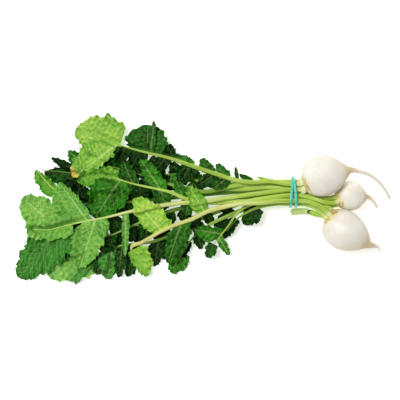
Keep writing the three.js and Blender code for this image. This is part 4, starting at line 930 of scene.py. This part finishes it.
# Round the crown, by each point's distance and bearing from it: the height of the lumps, the share of
# the yellow tint, and the rusty creases, two wandering rings exp(-(distance / width)^2)
def crownMarks(name, bulb, points, middle, spin):
    outward = unit(np.array(bulb["crownWay"]))
    side = unit(np.cross(outward, [0, 0, 1]))
    rise = np.cross(side, outward)
    offset = points - (middle + outward * bulb["radius"] + [0, 0, turnip["crownLift"][name]])
    fromCrown = (np.linalg.norm(offset, axis=1) - bulb["ring"]) / turnip["crownSpread"][name]
    bearing = np.arctan2(offset @ rise, offset @ side)
    lumps = ease(np.sin(bulb["stalks"] * bearing + spin[4]) + 0.3 * np.sin(9 * bearing), -0.6, 1)
    lumps = turnip["lumps"] * lumps * np.exp(-((fromCrown - 3) / 2.2) ** 2)
    crownTint = (1 - ease(fromCrown, 2.5, 9)) * (0.9 + 0.1 * np.sin(4 * bearing + spin[5]))
    wander = 0.9 * np.sin(3 * bearing + spin[2]) + 0.4 * np.sin(8 * bearing)
    rustLine = np.exp(-((fromCrown - 5.4 - wander) / 0.6) ** 2)
    rustLine = rustLine + 0.9 * np.exp(-((fromCrown - 2 - wander) / 0.8) ** 2)
    rustLine = rustLine * ease(np.sin(2 * bearing + spin[3]) + 0.5 * np.sin(7 * bearing), -0.4, 0.8)
    return lumps, crownTint, 0.85 * np.clip(rustLine, 0, 1)


# Bulb and taproot in one skin: the body's radius times (1 + slow swell) plus fine rings, carried along
# its path, with lumps at the crown, tan towards the taproot, and painted shade in that tan low on the
# flanks, most on the side away from the key light
def addTurnip(name, bulb):
    pole, base = np.array(bulb["pole"]), np.array(bulb["base"])
    length = float(np.linalg.norm(base - pole))
    path, run, radius = bodyOf(bulb, pole, base, length)
    angle = 2 * np.pi * np.arange(turnip["sides"]) / turnip["sides"]
    onBulb = (ease(run, 0, 0.1 * length) * (1 - ease(run, 0.8 * length, length)))[:, None]
    a, t = angle[None, :], (run / length)[:, None]
    spin = chance.uniform(0, 2 * np.pi, 6)
    swell = np.sin(2 * a + spin[0] + t) + 0.7 * np.sin(3 * a + spin[1] - 2 * t)
    swell = swell + 0.5 * np.sin(5 * a + spin[2] + 3 * t)
    ridge = np.sin(2 * np.pi * run / turnip["ringPitch"])[:, None] * (0.6 + 0.4 * np.sin(2 * a + spin[3]))
    radius = radius[:, None] * (1 + turnip["unevenness"] * swell * onBulb)
    radius = radius + turnip["rings"] * ridge * ease(t, 0.7, 0.95) * (1 - ease(t, 1.3, 1.6))

    # the pole is closed by rings that shrink to its middle
    capShare = np.linspace(0.16, 0.9, turnip["capRings"])
    away = unit(pole - base)
    capPath = pole + away * (turnip["poleHeight"] * np.cos(capShare * np.pi / 2))[:, None]
    path = np.vstack([capPath, path])
    radius = np.vstack([radius[0][None, :] * capShare[:, None], radius])
    run = np.concatenate([np.zeros(turnip["capRings"]), run])
    points, faces = sweepStraight(path, radius, turnip["sides"], -away, turnip["capRings"])

    middle = blend(pole, base, bulb["widest"])
    lumps, crownTint, rust = crownMarks(name, bulb, points, middle, spin)
    points = points + unit(points - middle) * lumps[:, None]
    points[:, 2] = np.maximum(points[:, 2], 0)
    t = run / length
    tanAndShade = 0.1 * ease(t, 0.55, 0.9) + 0.6 * ease(t, 0.82, 1) - 0.5 * ease(t, 1.03, 1.2)
    tanAndShade = overSkin(tanAndShade, turnip["sides"])
    # painted shade: the flanks, most of all those facing right and down, away from the key light, take the
    # tan colour
    bearingOut = unit(points - middle)
    awayFromKey = 0.3 + 0.45 * ease(bearingOut @ [0.6, -0.6, 0], 0, 0.9)
    flankShade = (1 - ease(bearingOut[:, 2], -0.1, 0.8)) * awayFromKey
    tanAndShade = tanAndShade + flankShade * (1 - tanAndShade) * (1 - ease(overSkin(t, turnip["sides"]), 0.9, 1.1))
    numbers = {"crown": crownTint, "rust": rust, "tanAndShade": tanAndShade}
    layout = skinMap(run, turnip["mapRadius"], turnip["sides"])
    piece = "turnip_" + name
    addPiece(piece + "_skin", points, faces, "root_skin", piece, numbers, layout)


# A sweep whose first rings all face the same way, for a cap of rings with hardly any run between them
def sweepStraight(path, radius, sides, facing, capRings):
    points, faces = sweep(path, radius, sides)
    side = unit(np.cross([0, 0, 1], facing))
    rise = np.cross(facing, side)
    angle = 2 * np.pi * np.arange(sides) / sides
    ring = side * np.cos(angle)[:, None] + rise * np.sin(angle)[:, None]
    cap = path[:capRings + 1, None] + radius[:capRings + 1, :, None] * ring
    points[:(capRings + 1) * sides] = cap.reshape(-1, 3)
    return points, faces


for name, bulb in bulbs.items():
    addTurnip(name, bulb)
print("turnips made")


# Left at the crowns: the white nub of a cut stalk, and a curled scale of dried skin
scraps = {
    "turnip_upper_nub": {"node": "turnip_upper",
                         "points": [(119, 11.5, 28), (115.6, 9.8, 29.5), (112.6, 9.4, 28.5)],
                         "radius": 2.4, "flatness": 0.95, "crown": 0.12, "rust": 0.05},
    "turnip_lower_scale": {"node": "turnip_lower",
                           "points": [(146, -11, 32.5), (150.5, -13.5, 34.6), (156, -16, 34)],
                           "radius": 2.9, "flatness": 0.4, "crown": 0.6, "rust": 0.62},
}


# A scrap: a short sweep, r = R sqrt(sin(pi t)) (1 + 0.16 sin(5a + 9t)), flattened upright
def addScrap(name, scrap):
    line = smoothLine(scrap["points"], 0.35)
    share = np.linspace(0, 1, len(line))[:, None]
    sides = 24
    angle = 2 * np.pi * np.arange(sides) / sides
    flat = 1 / np.sqrt(np.cos(angle) ** 2 + (np.sin(angle) / scrap["flatness"]) ** 2)
    radius = scrap["radius"] * np.sqrt(np.sin(np.pi * share).clip(0.02)) * flat
    radius = radius * (1 + 0.16 * np.sin(5 * angle + 9 * share))
    points, faces = sweep(line, radius, sides)
    even = np.ones(len(points))
    numbers = {"crown": scrap["crown"] * even, "rust": scrap["rust"] * even, "tanAndShade": 0.2 * even}
    addPiece(name, points, faces, "root_skin", scrap["node"], numbers, points[:, :2])


for name, scrap in scraps.items():
    addScrap(name, scrap)


# The broken stalk: its seat at the crown, and its line from there to beside the band, in mm
stump = {"angle": -2.36, "ring": 8.3, "step": 0.4, "mapRadius": 3,
         "points": [(131, -15.8, 12), (122, -12.8, 9.5), (112, -12.4, 8.5), (101.5, -13.4, 8)],
         "radius": (2.6, 3.8), "sides": 32, "tearX": 122.5}


# A tube that swells towards its free end, torn on the way, radius (1 + grain - dip + lip): it dips to a
# ragged ring painted dark as shade inside the torn hollow, with a pale frayed lip beside it; its free end
# is painted darker as shade too
def addStump():
    seat, away = crownSeat(bulbs["lower"], stump["angle"], stump["ring"])
    line = smoothLine([tuple(seat - away), tuple(seat + away * 1.5)] + stump["points"], stump["step"])
    run = runOf(line)
    share = run / run[-1]
    radius = blend(stump["radius"][0], stump["radius"][1], share)
    radius = radius * np.sqrt(np.clip(1 - ease(run, run[-1] - 3, run[-1] + 0.6) ** 2, 0.05, 1))
    angle = 2 * np.pi * np.arange(stump["sides"]) / stump["sides"]
    ragged = 0.9 * np.sin(3 * angle) + 0.6 * np.sin(7 * angle + 1) + 0.4 * np.sin(13 * angle + 2)
    fromTear = line[:, 0:1] - stump["tearX"] - 0.5 * ragged[None, :]
    dip = np.exp(-(fromTear / 1.3) ** 2)
    lips = np.exp(-((fromTear + 2.6) / 1.1) ** 2) * (1 + 0.35 * np.sin(11 * angle)[None, :])
    grain = 0.03 * np.cos(8 * angle)[None, :]
    skin = radius[:, None] * (1 + grain - 0.45 * dip + 0.22 * lips)
    points, faces = sweep(line, skin, stump["sides"])
    frayed = np.clip(1.3 * lips, 0, 1)
    # painted shade: dark at the torn dip and towards the free end, for the hollow inside
    rib = 0.45 - 0.9 * dip - 0.25 * ease(share, 0.9, 1)[:, None]
    pale = np.clip(frayed + 0.45 * ease(share, 0.55, 0.7)[:, None], 0, 1)
    numbers = {"rib": overSkin(rib, stump["sides"]), "base": overSkin(pale, stump["sides"])}
    layout = skinMap(run, stump["mapRadius"], stump["sides"])
    addPiece("broken_stalk_torn", points, faces, "stalk_green", "broken_stalk", numbers, layout)


addStump()


band = {
    "width": 3, "thickness": 1.1,      # of the strand, mm
    "spread": 3.2,              # how far each turn stands from the middle, mm
    "crossing": 0.75,           # how far one turn rises where it crosses the other, mm
    "steps": 90,                # for each turn
    "sectionSides": 16,
    "mapRadius": 12,            # mm
}


# Outline of the tied stalks across the bunch, as a distance for each angle round their middle: the
# convex hull of all stalk circles near the tie, grown by the clearance and half the band
def bundleOutline(angles):
    grow = bunch["stalkRadius"] + bunch["clearance"] + band["thickness"] / 2
    corners = 24
    circle = 2 * np.pi * np.arange(corners) / corners
    spots = []
    for path in stalkPaths:
        near = path[np.abs(path[:, 0] - bunch["bandX"]) < band["spread"] + band["width"]]
        ring = grow * np.stack([np.cos(circle), np.sin(circle)], axis=1)
        spots.append((near[:, None, 1:] + ring).reshape(-1, 2))
    spots = np.vstack(spots)
    hull = spots[geometry.convex_hull_2d([tuple(p) for p in spots])]
    closed = evenSteps(np.vstack([hull, hull[0]]), 0.3)
    middle = closed.mean(axis=0)
    bearing = np.arctan2(closed[:, 1] - middle[1], closed[:, 0] - middle[0])
    distance = np.hypot(closed[:, 0] - middle[0], closed[:, 1] - middle[1])
    order = np.argsort(bearing)
    return middle, np.interp(angles, bearing[order], distance[order], period=2 * np.pi)


# Rubber band: one loop wound twice round the stalks, its turns crossing at the +Y side. Its section is a
# rounded oblong, |x|^4 + |y|^4 = 1, carried round the outline: x = bandX + spread cos(half), where half
# is half the angle gone round
def addBand():
    half = np.pi * np.arange(2 * band["steps"]) / band["steps"]
    angle = np.pi - 2 * half
    middle, distance = bundleOutline(angle)
    spot = middle + distance[:, None] * np.stack([np.cos(angle), np.sin(angle)], axis=1)
    ahead = np.roll(spot, -1, axis=0) - np.roll(spot, 1, axis=0)
    out = unit(np.stack([-ahead[:, 1], ahead[:, 0]], axis=1))
    x = bunch["bandX"] + band["spread"] * np.cos(half)
    lift = band["crossing"] * (1 + np.sin(half))
    turn = 2 * np.pi * np.arange(band["sectionSides"]) / band["sectionSides"]
    size = (np.cos(turn) ** 4 + np.sin(turn) ** 4) ** -0.25
    width = 0.5 * band["width"] * size * np.cos(turn)
    height = 0.5 * band["thickness"] * size * np.sin(turn)
    rise = lift[:, None] + height[None, :]
    skin = np.stack([x[:, None] + width[None, :], spot[:, 0:1] + out[:, 0:1] * rise,
                     spot[:, 1:2] + out[:, 1:2] * rise], axis=-1)
    rings, sides = skin.shape[:2]
    index = np.arange(rings * sides).reshape(rings, sides)
    right, onward = np.roll(index, -1, axis=1), np.roll(index, -1, axis=0)
    corners = np.stack([index, right, np.roll(right, -1, axis=0), onward], axis=-1).reshape(-1, 4)
    run = np.repeat(half[:, None] * band["mapRadius"], sides, axis=1)
    around = np.repeat(turn[None, :], rings, axis=0)
    layout = np.stack([run, around], axis=-1).reshape(-1, 2)
    addPiece("rubber_band_loop", skin.reshape(-1, 3), [corners], "band_rubber", "rubber_band", {}, layout)


addBand()
print("stump and band made")


# Floor and light: a white sheet, an even white room and a soft key light from the upper left
studio = {"floorSize": 6, "roomStrength": 0.3, "keyStrength": 2.24, "keyAngle": 24, "keyTilt": (-15, -20)}


def addStudio():
    half = studio["floorSize"] / 2
    mesh = bpy.data.meshes.new("floor")
    corners = [(-half, -half, 0), (half, -half, 0), (half, half, 0), (-half, half, 0)]
    mesh.from_pydata(corners, [], [(0, 1, 2, 3)])
    mesh.materials.append(floorSheet())
    floor = bpy.data.objects.new("floor", mesh)
    bpy.context.scene.collection.objects.link(floor)
    world = bpy.data.worlds.new("room")
    world.use_nodes = True
    world.node_tree.nodes["Background"].inputs["Color"].default_value = colour("#FFFFFF")
    world.node_tree.nodes["Background"].inputs["Strength"].default_value = studio["roomStrength"]
    bpy.context.scene.world = world
    key = bpy.data.lights.new("key", "SUN")
    key.energy = studio["keyStrength"]
    key.angle = math.radians(studio["keyAngle"])
    key.color = colour("#FFFCF4")[:3]
    keyObject = bpy.data.objects.new("key", key)
    keyObject.rotation_euler = [math.radians(tilt) for tilt in studio["keyTilt"]] + [0]
    bpy.context.scene.collection.objects.link(keyObject)
    bpy.context.scene.view_settings.view_transform = "Standard"


addStudio()
print("studio made")
